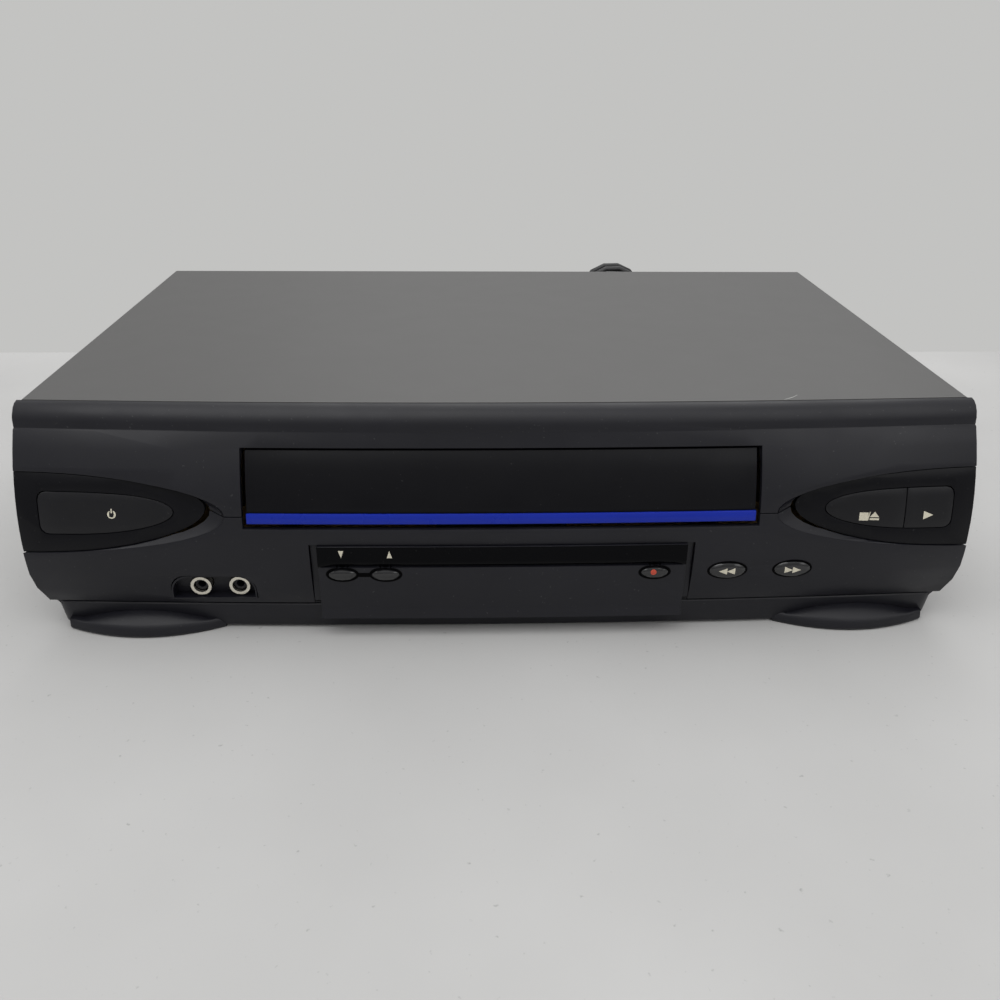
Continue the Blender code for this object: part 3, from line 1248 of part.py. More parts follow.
def rear_panel(material):
    """Make the rear wall with its cut-outs, screw bosses and vent slots."""
    foot_half = BASE_BOTTOM_HALF_WIDTH - WALL - GAP
    sill = BASE_RIM_Z + GAP
    outline = [(-foot_half, FLOOR_TOP_Z + GAP), (foot_half, FLOOR_TOP_Z + GAP), (foot_half, sill),
               (NECK_HALF_WIDTH, sill), (NECK_HALF_WIDTH, REAR_PANEL_TOP_Z),
               (-NECK_HALF_WIDTH, REAR_PANEL_TOP_Z), (-NECK_HALF_WIDTH, sill), (-foot_half, sill)]
    wall = prism(outline, REAR_FACE_Y - REAR_PANEL_THICKNESS, REAR_FACE_Y, "Y")
    window = rear_block_outline(GAP)
    cut(wall, prism(window, REAR_FACE_Y - OVERRUN, REAR_FACE_Y + OVERRUN, "Y"))
    for z in RF_Z:
        cut(wall, rod(RF_RADIUS + GAP, (TUNER_X, REAR_FACE_Y - OVERRUN, z), (TUNER_X, REAR_FACE_Y + OVERRUN, z)))
    cut(wall, rod(RELIEF_START_RADIUS + GAP, (CORD_EXIT_X, REAR_FACE_Y - OVERRUN, CORD_EXIT_Z),
                  (CORD_EXIT_X, REAR_FACE_Y + OVERRUN, CORD_EXIT_Z)))
    for side in (-1, 1):
        place = (side * SCREW_X, CASE_HEIGHT - COVER_FLANGE_HEIGHT / 2)
        boss_end = REAR_Y - SHEET - GAP
        join(wall, rod(2 * SCREW_HEAD_RADIUS / 2, (place[0], REAR_FACE_Y - REAR_PANEL_THICKNESS / 2, place[1]),
                       (place[0], boss_end, place[1]), ROUND_STEPS // 2))
        cut(wall, rod(SCREW_SHANK_RADIUS + GAP, (place[0], REAR_FACE_Y, place[1]),
                      (place[0], boss_end + OVERRUN, place[1]), ROUND_STEPS // 2))
    for index in range(VENT_COUNT):
        x = REAR_VENT_X + (index - (VENT_COUNT - 1) / 2) * VENT_PITCH
        slot = rounded_rectangle((x - VENT_WIDTH / 2, REAR_VENT_Z - SIDE_VENT_HEIGHT / 2),
                                 (x + VENT_WIDTH / 2, REAR_VENT_Z + SIDE_VENT_HEIGHT / 2),
                                 VENT_WIDTH / 2 - GAP, 1)
        cut(wall, prism(slot, REAR_FACE_Y - OVERRUN, REAR_FACE_Y + OVERRUN, "Y"))
    return finish(wall, "rear_panel", material)


def rear_socket_places():
    """Return the (x, z) centres of the four rear sockets."""
    return [(x, z) for x in REAR_SOCKET_X for z in REAR_SOCKET_Z]


def rear_block_outline(grow=0.0):
    """Return the outline of the rear socket block."""
    margin = REAR_BLOCK_MARGIN + grow
    return rounded_rectangle((min(REAR_SOCKET_X) - margin, min(REAR_SOCKET_Z) - margin),
                             (max(REAR_SOCKET_X) + margin, max(REAR_SOCKET_Z) + margin), WALL / 2, 2)


def tuner_box(material):
    """Fold the tuner's screening can with its two threaded aerial barrels and solder pegs."""
    back = REAR_FACE_Y - REAR_PANEL_THICKNESS - GAP
    can = block((TUNER_X - TUNER_HALF_WIDTH, back - TUNER_DEPTH, TUNER_BOTTOM_Z),
                (TUNER_X + TUNER_HALF_WIDTH, back, TUNER_BOTTOM_Z + TUNER_HEIGHT))
    for z in RF_Z:
        length = RF_LENGTH + REAR_PANEL_THICKNESS + GAP
        join(can, rod(RF_RADIUS, (TUNER_X, back - WALL, z), (TUNER_X, back + length, z), SOCKET_STEPS))
        cut(can, rod(RF_BORE, (TUNER_X, back + WALL / 2, z), (TUNER_X, back + length + OVERRUN, z), SOCKET_STEPS))
    for side in (-1, 1):
        for y in (back - TUNER_DEPTH + 2 * WALL, back - 4 * WALL):
            x = TUNER_X + side * (TUNER_HALF_WIDTH - WALL)
            join(can, rod(WALL / 2, (x, y, BOARD_Z + BOARD + GAP), (x, y, TUNER_BOTTOM_Z + WALL), ROUND_STEPS // 2))
    return finish(can, "tuner_box", material)


def circuit_board(side, name, material):
    """Cut one of the two flat boards on the chassis posts."""
    low_x, high_x = sorted((side * BOARD_INNER_X, side * BOARD_OUTER_X))
    outline = rounded_rectangle((low_x, SEAM_Y + BOARD_FRONT_Y), (high_x, REAR_Y - BOARD_REAR_INSET), WALL, 2)
    return finish(prism(outline, BOARD_Z, BOARD_Z + BOARD, "Z"), name, material)


def power_transformer(material):
    """Make the laminated core with its round bobbin."""
    width, depth, height = TRANSFORMER_SIZE
    x, y = TRANSFORMER_X, SEAM_Y + TRANSFORMER_Y
    base = BOARD_Z + BOARD + GAP
    core = prism(rounded_rectangle((x - width / 2, base), (x + width / 2, base + height), WALL, 2),
                 y - depth / 4, y + depth / 4, "Y")
    bobbin = prism(ellipse((x, y), BOBBIN_RADIUS, depth / 2), base + WALL, base + height - WALL, "Z")
    return finish(join(core, bobbin), "power_transformer", material)


def filter_capacitor(material):
    """Turn the smoothing capacitor with its crimped rim."""
    base = BOARD_Z + BOARD + GAP
    edge, radius = CAPACITOR_EDGE, CAPACITOR_RADIUS
    profile = [(0, 0), (radius - edge / 2, 0), (radius, edge), (radius - edge / 2, 2 * edge),
               (radius, 3 * edge), (radius, CAPACITOR_HEIGHT - edge), (radius - edge, CAPACITOR_HEIGHT),
               (0, CAPACITOR_HEIGHT)]
    can = turned(profile, (CAPACITOR_X, SEAM_Y + CAPACITOR_Y, base), (0, 0, 1), ROUND_STEPS)
    return finish(can, "filter_capacitor", material)


# Tape deck

def deck_plate(material):
    """Press the deck: a plate with guide slots and holes for every shaft."""
    low = (-DECK_HALF_WIDTH, SEAM_Y + DECK_FRONT_Y)
    high = (DECK_HALF_WIDTH, SEAM_Y + DECK_REAR_Y)
    deck = prism(rounded_rectangle(low, high, WALL, 2), DECK_Z, DECK_TOP_Z, "Z")

    def drill(x, y, radius):
        cut(deck, rod(radius, (x, SEAM_Y + y, DECK_Z - OVERRUN), (x, SEAM_Y + y, DECK_TOP_Z + OVERRUN),
                      ROUND_STEPS // 2))

    drill(CAPSTAN_X, CAPSTAN_Y, CAPSTAN_BEARING_RADIUS + GAP)
    for side in (-1, 1):
        start, end = guide_line(side)
        along = (Vector(end) - Vector(start)).normalized() * GUIDE_SLOT_WIDTH
        across = Vector((-along[1], along[0])) / 2
        corners = [Vector(start) - along + across, Vector(start) - along - across,
                   Vector(end) + along - across, Vector(end) + along + across]
        cut(deck, prism([tuple(corner) for corner in corners], DECK_Z - OVERRUN, DECK_TOP_Z + OVERRUN, "Z"))
        join(deck, rod(SHAFT_RADIUS, (side * REEL_X, SEAM_Y + REEL_Y, DECK_Z + DECK_THICKNESS / 2),
                       (side * REEL_X, SEAM_Y + REEL_Y, DECK_TOP_Z + REEL_SPINDLE_TOP - WALL), ROUND_STEPS // 2))
    join(deck, rod(PIVOT_RADIUS, (PINCH_PIVOT_X, SEAM_Y + PINCH_PIVOT_Y, DECK_Z + DECK_THICKNESS / 2),
                   (PINCH_PIVOT_X, SEAM_Y + PINCH_PIVOT_Y, PINCH_ARM_Z + 2 * PINCH_ARM_THICKNESS),
                   ROUND_STEPS // 2))
    pedestal = rod(2 * PIVOT_RADIUS, (PINCH_PIVOT_X, SEAM_Y + PINCH_PIVOT_Y, DECK_Z + DECK_THICKNESS / 2),
                   (PINCH_PIVOT_X, SEAM_Y + PINCH_PIVOT_Y, PINCH_ARM_Z - GAP), ROUND_STEPS // 2)
    join(deck, pedestal)
    return finish(deck, "deck_plate", material)


def guide_line(side):
    """Return the straight path of one guide post as two (x, y) world points."""
    x, y = GUIDE_START
    end_x = x + GUIDE_TRAVEL * math.sin(GUIDE_LEAN)
    end_y = y + GUIDE_TRAVEL * math.cos(GUIDE_LEAN)
    return (side * x, SEAM_Y + y), (side * end_x, SEAM_Y + end_y)


def guide_carriage(side, name, material):
    """Make one guide carriage: a shoe on the deck, its keel in the slot and its roller post."""
    (x, y), _ = guide_line(side)
    base = DECK_TOP_Z + GAP
    shoe = prism(ellipse((x, y), GUIDE_BASE_HALF, GUIDE_BASE_HALF, ROUND_STEPS // 2), base,
                 base + GUIDE_BASE_HEIGHT, "Z")
    keel = rod(GUIDE_SLOT_WIDTH / 2 - GAP, (x, y, DECK_Z - DECK_THICKNESS), (x, y, base + GUIDE_BASE_HEIGHT / 2),
               ROUND_STEPS // 2)
    radius = GUIDE_POST_RADIUS
    profile = [(0, 0), (radius * SPOOL_SHARE, 0), (radius * SPOOL_SHARE, WALL), (radius, WALL),
               (radius, 2 * WALL), (radius * SPOOL_SHARE, 2 * WALL), (radius * SPOOL_SHARE, GUIDE_POST_TOP - WALL),
               (radius, GUIDE_POST_TOP - WALL), (radius, GUIDE_POST_TOP), (0, GUIDE_POST_TOP)]
    post = turned(profile, (x, y, base + GUIDE_BASE_HEIGHT / 2), (0, 0, 1), ROUND_STEPS // 2)
    return finish(join(shoe, keel, post), name, material, (x, y, base))


def drum_frame():
    """Return the drum's centre on the deck and its tilted axis."""
    axis = Vector((0, -math.sin(DRUM_TILT), math.cos(DRUM_TILT)))
    return Vector((0, SEAM_Y + DRUM_Y, DECK_TOP_Z)), axis


def lower_drum(material):
    """Turn the fixed half of the drum on its base and cut the base level with the deck."""
    place, axis = drum_frame()
    lift = DRUM_LIFT
    profile = [(0, -lift), (DRUM_BASE_RADIUS, -lift), (DRUM_BASE_RADIUS, lift), (DRUM_RADIUS, lift),
               (DRUM_RADIUS, lift + LOWER_DRUM_HEIGHT), (SHAFT_RADIUS + GAP, lift + LOWER_DRUM_HEIGHT),
               (SHAFT_RADIUS + GAP, 2 * lift), (0, 2 * lift)]
    drum = turned(profile, place, axis, DRUM_STEPS)
    reach = 2 * DRUM_RADIUS
    under = block((-reach, place.y - reach, DECK_TOP_Z - reach), (reach, place.y + reach, DECK_TOP_Z + GAP))
    return finish(cut(drum, under), "lower_drum", material)


def upper_drum(material):
    """Turn the spinning half with its shaft, head gap and rotor."""
    place, axis = drum_frame()
    base = DRUM_LIFT + LOWER_DRUM_HEIGHT + GAP
    top = base + UPPER_DRUM_HEIGHT
    profile = [(0, 2 * DRUM_LIFT + GAP), (SHAFT_RADIUS, 2 * DRUM_LIFT + GAP), (SHAFT_RADIUS, base),
               (DRUM_RADIUS, base), (DRUM_RADIUS, top - DRUM_BEAD), (DRUM_RADIUS - DRUM_BEAD, top),
               (ROTOR_RADIUS, top), (ROTOR_RADIUS, top + ROTOR_HEIGHT), (0, top + ROTOR_HEIGHT)]
    return finish(turned(profile, place, axis, DRUM_STEPS), "upper_drum", material, place)


def reel_table(side, name, material):
    """Turn one reel table and fuse the splines that drive the cassette's hub."""
    place = (side * REEL_X, SEAM_Y + REEL_Y, DECK_TOP_Z + GAP)
    bore = SHAFT_RADIUS + GAP
    profile = [(bore, 0), (REEL_RADIUS, 0), (REEL_RADIUS, REEL_HEIGHT), (REEL_HUB_RADIUS, REEL_HEIGHT),
               (REEL_HUB_RADIUS, 2 * REEL_HEIGHT), (REEL_SPLINE_RADIUS, 2 * REEL_HEIGHT),
               (REEL_SPLINE_RADIUS, REEL_SPINDLE_TOP - WALL), (bore + WALL / 2, REEL_SPINDLE_TOP),
               (bore, REEL_SPINDLE_TOP)]
    table = turned(profile, place)
    for index in range(REEL_SPLINE_COUNT):
        angle = 2 * math.pi * index / REEL_SPLINE_COUNT
        along = Vector((math.cos(angle), math.sin(angle)))
        across = Vector((-along[1], along[0])) * WALL / 4
        centre = Vector(place[:2])
        inner = centre + along * (REEL_SPLINE_RADIUS - WALL / 2)
        outer = centre + along * (REEL_SPLINE_RADIUS + WALL / 2)
        corners = [inner - across, outer - across, outer + across, inner + across]
        spline = prism([tuple(corner) for corner in corners], place[2] + 2 * REEL_HEIGHT - WALL / 2,
                       place[2] + REEL_SPINDLE_TOP - WALL - GAP, "Z")
        join(table, spline)
    return finish(table, name, material, place)


def capstan(material):
    """Turn the capstan: a ground shaft through the deck with the flywheel below it."""
    place = (CAPSTAN_X, SEAM_Y + CAPSTAN_Y, 0)
    low = DECK_Z - CAPSTAN_BEARING_DROP - GAP - FLYWHEEL_HEIGHT
    top = low + FLYWHEEL_HEIGHT
    rim = FLYWHEEL_RADIUS
    profile = [(0, low), (rim - DRUM_BEAD, low), (rim, low + DRUM_BEAD), (rim, top - DRUM_BEAD),
               (rim - DRUM_BEAD, top), (SHAFT_RADIUS, top), (SHAFT_RADIUS, CAPSTAN_TOP_Z), (0, CAPSTAN_TOP_Z)]
    return finish(turned(profile, place), "capstan_flywheel", material, place)


def capstan_bearing(material):
    """Turn the bearing tube pressed through the deck, flanged on top of it."""
    place = (CAPSTAN_X, SEAM_Y + CAPSTAN_Y, DECK_Z - CAPSTAN_BEARING_DROP)
    bore, radius = SHAFT_RADIUS + GAP, CAPSTAN_BEARING_RADIUS
    flange = DECK_THICKNESS + CAPSTAN_BEARING_DROP + GAP
    profile = [(bore, 0), (radius, 0), (radius, flange), (radius + WALL, flange),
               (radius + WALL, flange + SHEET), (radius - WALL / 2, flange + SHEET),
               (radius - WALL / 2, CAPSTAN_BEARING_HEIGHT), (bore, CAPSTAN_BEARING_HEIGHT)]
    return finish(turned(profile, place), "capstan_bearing", material)


def pinch_arm(material):
    """Make the swinging arm with its pivot hole and roller pin."""
    pivot = Vector((PINCH_PIVOT_X, SEAM_Y + PINCH_PIVOT_Y))
    tip = pinch_roller_place()
    along = (tip - pivot).normalized()
    outline = []
    for centre, turn in ((pivot, math.pi / 2), (tip, -math.pi / 2)):
        for step in range(ARC_STEPS + 1):
            angle = math.atan2(along[1], along[0]) + turn + math.pi * step / ARC_STEPS
            outline.append((centre[0] + PINCH_ARM_HALF_WIDTH * math.cos(angle),
                            centre[1] + PINCH_ARM_HALF_WIDTH * math.sin(angle)))
    arm = prism(outline, PINCH_ARM_Z, PINCH_ARM_Z + PINCH_ARM_THICKNESS, "Z")
    cut(arm, rod(PIVOT_RADIUS + GAP, (*pivot, PINCH_ARM_Z - OVERRUN), (*pivot, PINCH_ARM_Z + 2 * OVERRUN)))
    pin_top = PINCH_ARM_Z + PINCH_ARM_THICKNESS + PINCH_ROLLER_HEIGHT + WALL / 2
    join(arm, rod(SHAFT_RADIUS, (*tip, PINCH_ARM_Z + PINCH_ARM_THICKNESS / 2), (*tip, pin_top), ROUND_STEPS // 2))
    return finish(arm, "pinch_arm", material, (*pivot, PINCH_ARM_Z))


def pinch_roller_place():
    """Return the roller's centre at rest, parked away from the capstan."""
    pivot = Vector((PINCH_PIVOT_X, SEAM_Y + PINCH_PIVOT_Y))
    capstan_place = Vector((CAPSTAN_X, SEAM_Y + CAPSTAN_Y))
    reach = (capstan_place - pivot).length
    return pivot + Vector((math.cos(PINCH_REST_ANGLE), math.sin(PINCH_REST_ANGLE))) * reach


def pinch_roller(material):
    """Turn the rubber roller on the arm's pin."""
    bore = SHAFT_RADIUS + GAP
    place = (*pinch_roller_place(), PINCH_ARM_Z + PINCH_ARM_THICKNESS + GAP)
    radius, height = PINCH_ROLLER_RADIUS, PINCH_ROLLER_HEIGHT
    profile = [(bore, 0), (radius - DRUM_BEAD, 0), (radius, DRUM_BEAD), (radius, height - DRUM_BEAD),
               (radius - DRUM_BEAD, height), (bore, height)]
    return finish(turned(profile, place), "pinch_roller", material, place)


def tape_head(x, y, name, material):
    """Make one fixed head on its foot, its face bowed towards the tape."""
    world_y = SEAM_Y + y
    outline = []
    for step in range(ARC_STEPS + 1):
        share = 2 * step / ARC_STEPS - 1
        outline.append((x + share * HEAD_HALF_WIDTH, world_y - HEAD_HALF_DEPTH - WALL / 2 * (1 - share ** 2)))
    outline += [(x + HEAD_HALF_WIDTH, world_y + HEAD_HALF_DEPTH), (x - HEAD_HALF_WIDTH, world_y + HEAD_HALF_DEPTH)]
    head = prism(outline, DECK_TOP_Z + WALL, HEAD_TOP_Z, "Z")
    foot = prism(rounded_rectangle((x - HEAD_HALF_WIDTH - WALL / 2, world_y - HEAD_HALF_DEPTH),
                                   (x + HEAD_HALF_WIDTH + WALL / 2, world_y + HEAD_HALF_DEPTH + WALL), WALL / 2, 2),
                 DECK_TOP_Z + GAP, DECK_TOP_Z + 2 * WALL, "Z")
    return finish(join(head, foot), name, material)


def loading_motor(material):
    """Turn the loading motor with its worm and fuse the foot that holds it to the deck."""
    place = (LOADING_MOTOR_X, SEAM_Y + LOADING_MOTOR_Y, LOADING_MOTOR_Z)
    radius, length, worm = LOADING_MOTOR_RADIUS, LOADING_MOTOR_LENGTH, WORM_RADIUS
    profile = [(0, -length / 2), (radius, -length / 2), (radius, length / 2 - WALL), (worm, length / 2 - WALL),
               (worm, length / 2 + WORM_LENGTH), (0, length / 2 + WORM_LENGTH)]
    motor = turned(profile, place, (0, 1, 0))
    foot = block((place[0] - radius, place[1] - length / 2 + WALL, DECK_TOP_Z + GAP),
                 (place[0] + radius, place[1] - length / 2 + 2 * WALL, place[2]))
    return finish(join(motor, foot), "loading_motor", material)


# Cassette loading

def cassette_cage(material):
    """Bend the cage: two side walls with guide windows, feet turned in and a top with a large opening."""
    half, sheet, foot = CAGE_HALF_WIDTH, CAGE_SHEET, CAGE_FOOT_WIDTH
    low, top = DECK_TOP_Z + GAP, CAGE_TOP_Z
    outline = [(-half, low), (-half + foot, low), (-half + foot, low + sheet), (-half + sheet, low + sheet),
               (-half + sheet, top - sheet), (half - sheet, top - sheet), (half - sheet, low + sheet),
               (half - foot, low + sheet), (half - foot, low), (half, low), (half, top), (-half, top)]
    front, rear = SEAM_Y + CAGE_FRONT_Y, SEAM_Y + CAGE_REAR_Y
    cage = prism(outline, front, rear, "Y")
    skylight = rounded_rectangle((-half + 4 * foot, front + 2 * foot), (half - 4 * foot, rear - 2 * foot),
                                 foot / 2, ARC_STEPS // 2)
    cut(cage, prism(skylight, top - OVERRUN, top + OVERRUN, "Z"))
    room = HOLDER_PIN_RADIUS + 2 * GAP
    for pin_y in holder_pin_places():
        window = rounded_rectangle((pin_y - room, HOLDER_PIN_Z - HOLDER_DROP - room),
                                   (pin_y + HOLDER_TRAVEL + room, HOLDER_PIN_Z + room), HOLDER_PIN_RADIUS, 2)
        cut(cage, prism(window, -half - OVERRUN, half + OVERRUN, "X"))
    stud = rod(SHAFT_RADIUS, (half - sheet / 2, SEAM_Y + GEAR_Y, GEAR_Z),
               (half + 2 * GAP + SLIDER_SHEET + GEAR_THICKNESS, SEAM_Y + GEAR_Y, GEAR_Z), ROUND_STEPS // 2)
    join(cage, stud)
    return finish(cage, "cassette_cage", material)


def holder_pin_places():
    """Return the world Y of the holder's pins."""
    front = SEAM_Y + HOLDER_FRONT_Y
    return [front + HOLDER_LENGTH - HOLDER_PIN_INSET]


def cassette_holder(material):
    """Bend the tray that carries the cassette: ledges, side walls, top bridge and guide pins."""
    outer = CAGE_HALF_WIDTH - CAGE_SHEET - 2 * GAP
    inner = outer - SHEET
    low, top = HOLDER_BOTTOM_Z, HOLDER_TOP_Z
    ledge = outer - HOLDER_LEDGE
    outline = [(-ledge, low), (-ledge, low + SHEET), (-inner, low + SHEET), (-inner, top - SHEET),
               (inner, top - SHEET), (inner, low + SHEET), (ledge, low + SHEET), (ledge, low),
               (outer, low), (outer, top), (-outer, top), (-outer, low)]
    front = SEAM_Y + HOLDER_FRONT_Y
    holder = prism(outline, front, front + HOLDER_LENGTH, "Y")
    opening = rounded_rectangle((-ledge + HOLDER_LEDGE, front + HOLDER_LEDGE),
                                (ledge - HOLDER_LEDGE, front + HOLDER_LENGTH - HOLDER_LEDGE), WALL, 2)
    cut(holder, prism(opening, top - OVERRUN, top + OVERRUN, "Z"))
    reach = CAGE_HALF_WIDTH + 2 * GAP + SLIDER_SHEET
    for pin_y in holder_pin_places():
        for side in (-1, 1):
            join(holder, rod(HOLDER_PIN_RADIUS, (side * (inner + SHEET / 2), pin_y, HOLDER_PIN_Z),
                             (side * reach, pin_y, HOLDER_PIN_Z), ROUND_STEPS // 2))
    origin = (0, front + HOLDER_LENGTH / 2, low)
    return finish(holder, "cassette_holder", material, origin)


def rack_outline(start_y, end_y, top_z):
    """Return a side plate's (y, z) outline with rack teeth along its lower edge."""
    pitch_z = GEAR_Z + GEAR_RADIUS
    addendum, dedendum = GEAR_MODULE, GEAR_MODULE + GEAR_BACKLASH
    slope = math.tan(PRESSURE_ANGLE)
    half_tooth = RACK_PITCH / 4 - GEAR_BACKLASH / 2
    outline = [(end_y, top_z), (start_y, top_z), (start_y, pitch_z + dedendum)]
    gap_centre = SEAM_Y + GEAR_Y
    first = math.ceil((start_y - gap_centre) / RACK_PITCH + half_tooth / RACK_PITCH)
    for index in range(first, first + RACK_TEETH):
        centre = gap_centre + (index + 1 / 2) * RACK_PITCH
        outline += [(centre - half_tooth - slope * dedendum, pitch_z + dedendum),
                    (centre - half_tooth + slope * addendum, pitch_z - addendum),
                    (centre + half_tooth - slope * addendum, pitch_z - addendum),
                    (centre + half_tooth + slope * dedendum, pitch_z + dedendum)]
    outline.append((end_y, pitch_z + dedendum))
    return outline


def loading_slider(material):
    """Make the slider: two side plates over the cage, a bridge and a rack on the right plate."""
    start, end = SEAM_Y + SLIDER_FRONT_Y, SEAM_Y + SLIDER_FRONT_Y + SLIDER_LENGTH
    inner = CAGE_HALF_WIDTH + GAP
    outer = inner + SLIDER_SHEET
    bridge_low = CAGE_TOP_Z + GAP
    plates = []
    for side in (-1, 1):
        if side > 0:
            outline = rack_outline(start, end, bridge_low + SLIDER_SHEET)
        else:
            low = GEAR_Z + GEAR_RADIUS + GEAR_MODULE
            outline = [(start, low), (end, low), (end, bridge_low + SLIDER_SHEET), (start, bridge_low + SLIDER_SHEET)]
        plate = prism(outline, side * inner, side * outer, "X")
        room = HOLDER_PIN_RADIUS + 2 * GAP
        for pin_y in holder_pin_places():
            slot = rounded_rectangle((pin_y - room, HOLDER_PIN_Z - HOLDER_DROP - room),
                                     (pin_y + room, HOLDER_PIN_Z + room), HOLDER_PIN_RADIUS, 2)
            cut(plate, prism(slot, side * (inner - OVERRUN), side * (outer + OVERRUN), "X"))
        plates.append(plate)
    middle = (start + end) / 2
    bridge = block((-outer + SLIDER_SHEET / 2, middle - SLIDER_BRIDGE_LENGTH / 2, bridge_low),
                   (outer - SLIDER_SHEET / 2, middle + SLIDER_BRIDGE_LENGTH / 2, bridge_low + SLIDER_SHEET * 3 / 4))
    slider = join(plates[0], bridge, plates[1])
    return finish(slider, "loading_slider", material, (0, middle, bridge_low))


def gear_outline(teeth, module, backlash):
    """Return an involute gear's outline about its centre, one tooth pointing up."""
    pitch = module * teeth / 2
    base = pitch * math.cos(PRESSURE_ANGLE)
    tip, root = pitch + module, pitch - module - backlash
    involute = math.tan(PRESSURE_ANGLE) - PRESSURE_ANGLE
    half_pitch_angle = math.pi / (2 * teeth) - backlash / (2 * pitch)
    outline = []
    for tooth in range(teeth):
        centre = math.pi / 2 + 2 * math.pi * tooth / teeth
        flank = []
        for step in range(TOOTH_STEPS + 1):
            radius = max(base, root) + (tip - max(base, root)) * step / TOOTH_STEPS
            roll = math.sqrt(max((radius / base) ** 2 - 1, 0))
            flank.append((radius, half_pitch_angle + involute - (roll - math.atan(roll))))
        if root < base:
            flank.insert(0, (root, flank[0][1]))
        for radius, angle in flank:
            outline.append((radius * math.cos(centre - angle), radius * math.sin(centre - angle)))
        for radius, angle in reversed(flank):
            outline.append((radius * math.cos(centre + angle), radius * math.sin(centre + angle)))
    return outline


def loading_gear(material):
    """Make the gear on the cage's stud that drives the slider's rack."""
    centre = (SEAM_Y + GEAR_Y, GEAR_Z)
    outline = [(centre[0] + y, centre[1] + z) for y, z in gear_outline(GEAR_TEETH, GEAR_MODULE, GEAR_BACKLASH)]
    start = CAGE_HALF_WIDTH + GAP
    gear = prism(outline, start, start + GEAR_THICKNESS, "X")
    cut(gear, rod(SHAFT_RADIUS + GAP, (start - OVERRUN, *centre), (start + GEAR_THICKNESS + OVERRUN, *centre),
                  ROUND_STEPS // 2))
    return finish(gear, "loading_gear", material, (start, *centre))


# Mains lead

def strain_relief(material):
    """Turn the tapered sleeve that grips the lead in the rear panel."""
    start = REAR_FACE_Y - REAR_PANEL_THICKNESS - WALL
    place = (CORD_EXIT_X, start, CORD_EXIT_Z)
    groove = RELIEF_START_RADIUS
    inner, outer = WALL, WALL + REAR_PANEL_THICKNESS
    flange = RELIEF_FLANGE_RADIUS
    end = RELIEF_LENGTH
    profile = [(0, 0), (flange, 0), (flange, inner - GAP), (groove, inner - GAP), (groove, outer + GAP),
               (flange, outer + GAP), (flange, outer + WALL / 2), (groove, outer + WALL),
               (CORD_RADIUS + SHEET, end), (0, end)]
    return finish(turned(profile, place, (0, 1, 0)), "strain_relief", material)


def smooth_path(points, steps):
    """Return a smooth curve through points whose first and last stretch stay straight."""
    path = [Vector(points[0])]
    last = len(points) - 1
    for index in range(1, last - 1):
        before, start, end, after = (Vector(points[index + shift]) for shift in (-1, 0, 1, 2))
        for step in range(steps):
            t = step / steps
            path.append(((2 * start) + (end - before) * t + (2 * before - 5 * start + 4 * end - after) * t ** 2
                         + (3 * start - before - 3 * end + after) * t ** 3) / 2)
    return path + [Vector(points[last - 1]), Vector(points[last])]


def tube(path, radius, resolution):
    """Sweep a round tube along a path."""
    curve = bpy.data.curves.new("path", "CURVE")
    curve.dimensions = "3D"
    curve.bevel_depth = radius
    curve.bevel_resolution = resolution
    curve.use_fill_caps = True
    spline = curve.splines.new("POLY")
    spline.points.add(len(path) - 1)
    for point, place in zip(spline.points, path):
        point.co = (*place, 1.0)
    piece = bpy.data.objects.new("tube", curve)
    bpy.context.scene.collection.objects.link(piece)
    graph = bpy.context.evaluated_depsgraph_get()
    mesh = bpy.data.meshes.new_from_object(piece.evaluated_get(graph))
    bpy.data.objects.remove(piece, do_unlink=True)
    bpy.data.curves.remove(curve)
    bm = bmesh.new()
    bm.from_mesh(mesh)
    bmesh.ops.remove_doubles(bm, verts=bm.verts, dist=GAP / 100)
    return solid_from(bm)


def hank_path():
    """Return the folded lead: loops that spiral out and in again, layer behind layer.

    Every loop starts half-way up the right run, where the lead also climbs to the next layer.
    The runs are drawn in towards their waist.
    """
    half_run = HANK_RUN / 2
    widest = HANK_FOLD_RADIUS + (HANK_TURNS - 1 / 4) * HANK_PITCH
    centre_z = FLOOR_CLEARANCE + CORD_RADIUS + widest + half_run
    base_y = REAR_Y + HANK_GAP + CORD_RADIUS
    arc_points = HANK_LOOP_POINTS // 3
    run_points = HANK_LOOP_POINTS // 2 - arc_points
    places = [half_run * 2 * index / run_points for index in range(run_points // 2)]
    shape = [(0, height) for height in places]
    shape += [(math.pi * index / (arc_points - 1), half_run) for index in range(arc_points)]
    shape += [(math.pi, half_run - HANK_RUN * index / run_points) for index in range(1, run_points)]
    shape += [(math.pi * (1 + index / (arc_points - 1)), -half_run) for index in range(arc_points)]
    shape += [(0, height - half_run) for height in places[1:]]
    points = []
    loops = HANK_LAYERS * HANK_TURNS
    total = loops * len(shape) - len(places) + 1
    for step in range(total + 1):
        along = step / len(shape)
        layer = min(int(along / HANK_TURNS), HANK_LAYERS - 1)
        inside = along - layer * HANK_TURNS
        wide = HANK_TURNS - inside if layer % 2 else inside
        climb = 0.0
        if inside > HANK_TURNS - CLIMB_SHARE and layer < HANK_LAYERS - 1:
            climb = (inside - HANK_TURNS + CLIMB_SHARE) / (2 * CLIMB_SHARE)
        if inside < CLIMB_SHARE and layer:
            climb = (inside - CLIMB_SHARE) / (2 * CLIMB_SHARE)
        angle, height = shape[step % len(shape)]
        draw = HANK_DRAW * math.cos(math.pi / 2 * min(abs(height) / half_run, 1)) ** 2
        if math.sin(angle):
            draw = 0.0
        radius = HANK_FOLD_RADIUS + wide * HANK_PITCH
        x = (radius - draw) * math.cos(angle)
        z = height + radius * math.sin(angle)
        points.append(Vector((HANK_X + x, base_y + (layer + climb) * HANK_PITCH, centre_z + z)))
    return points


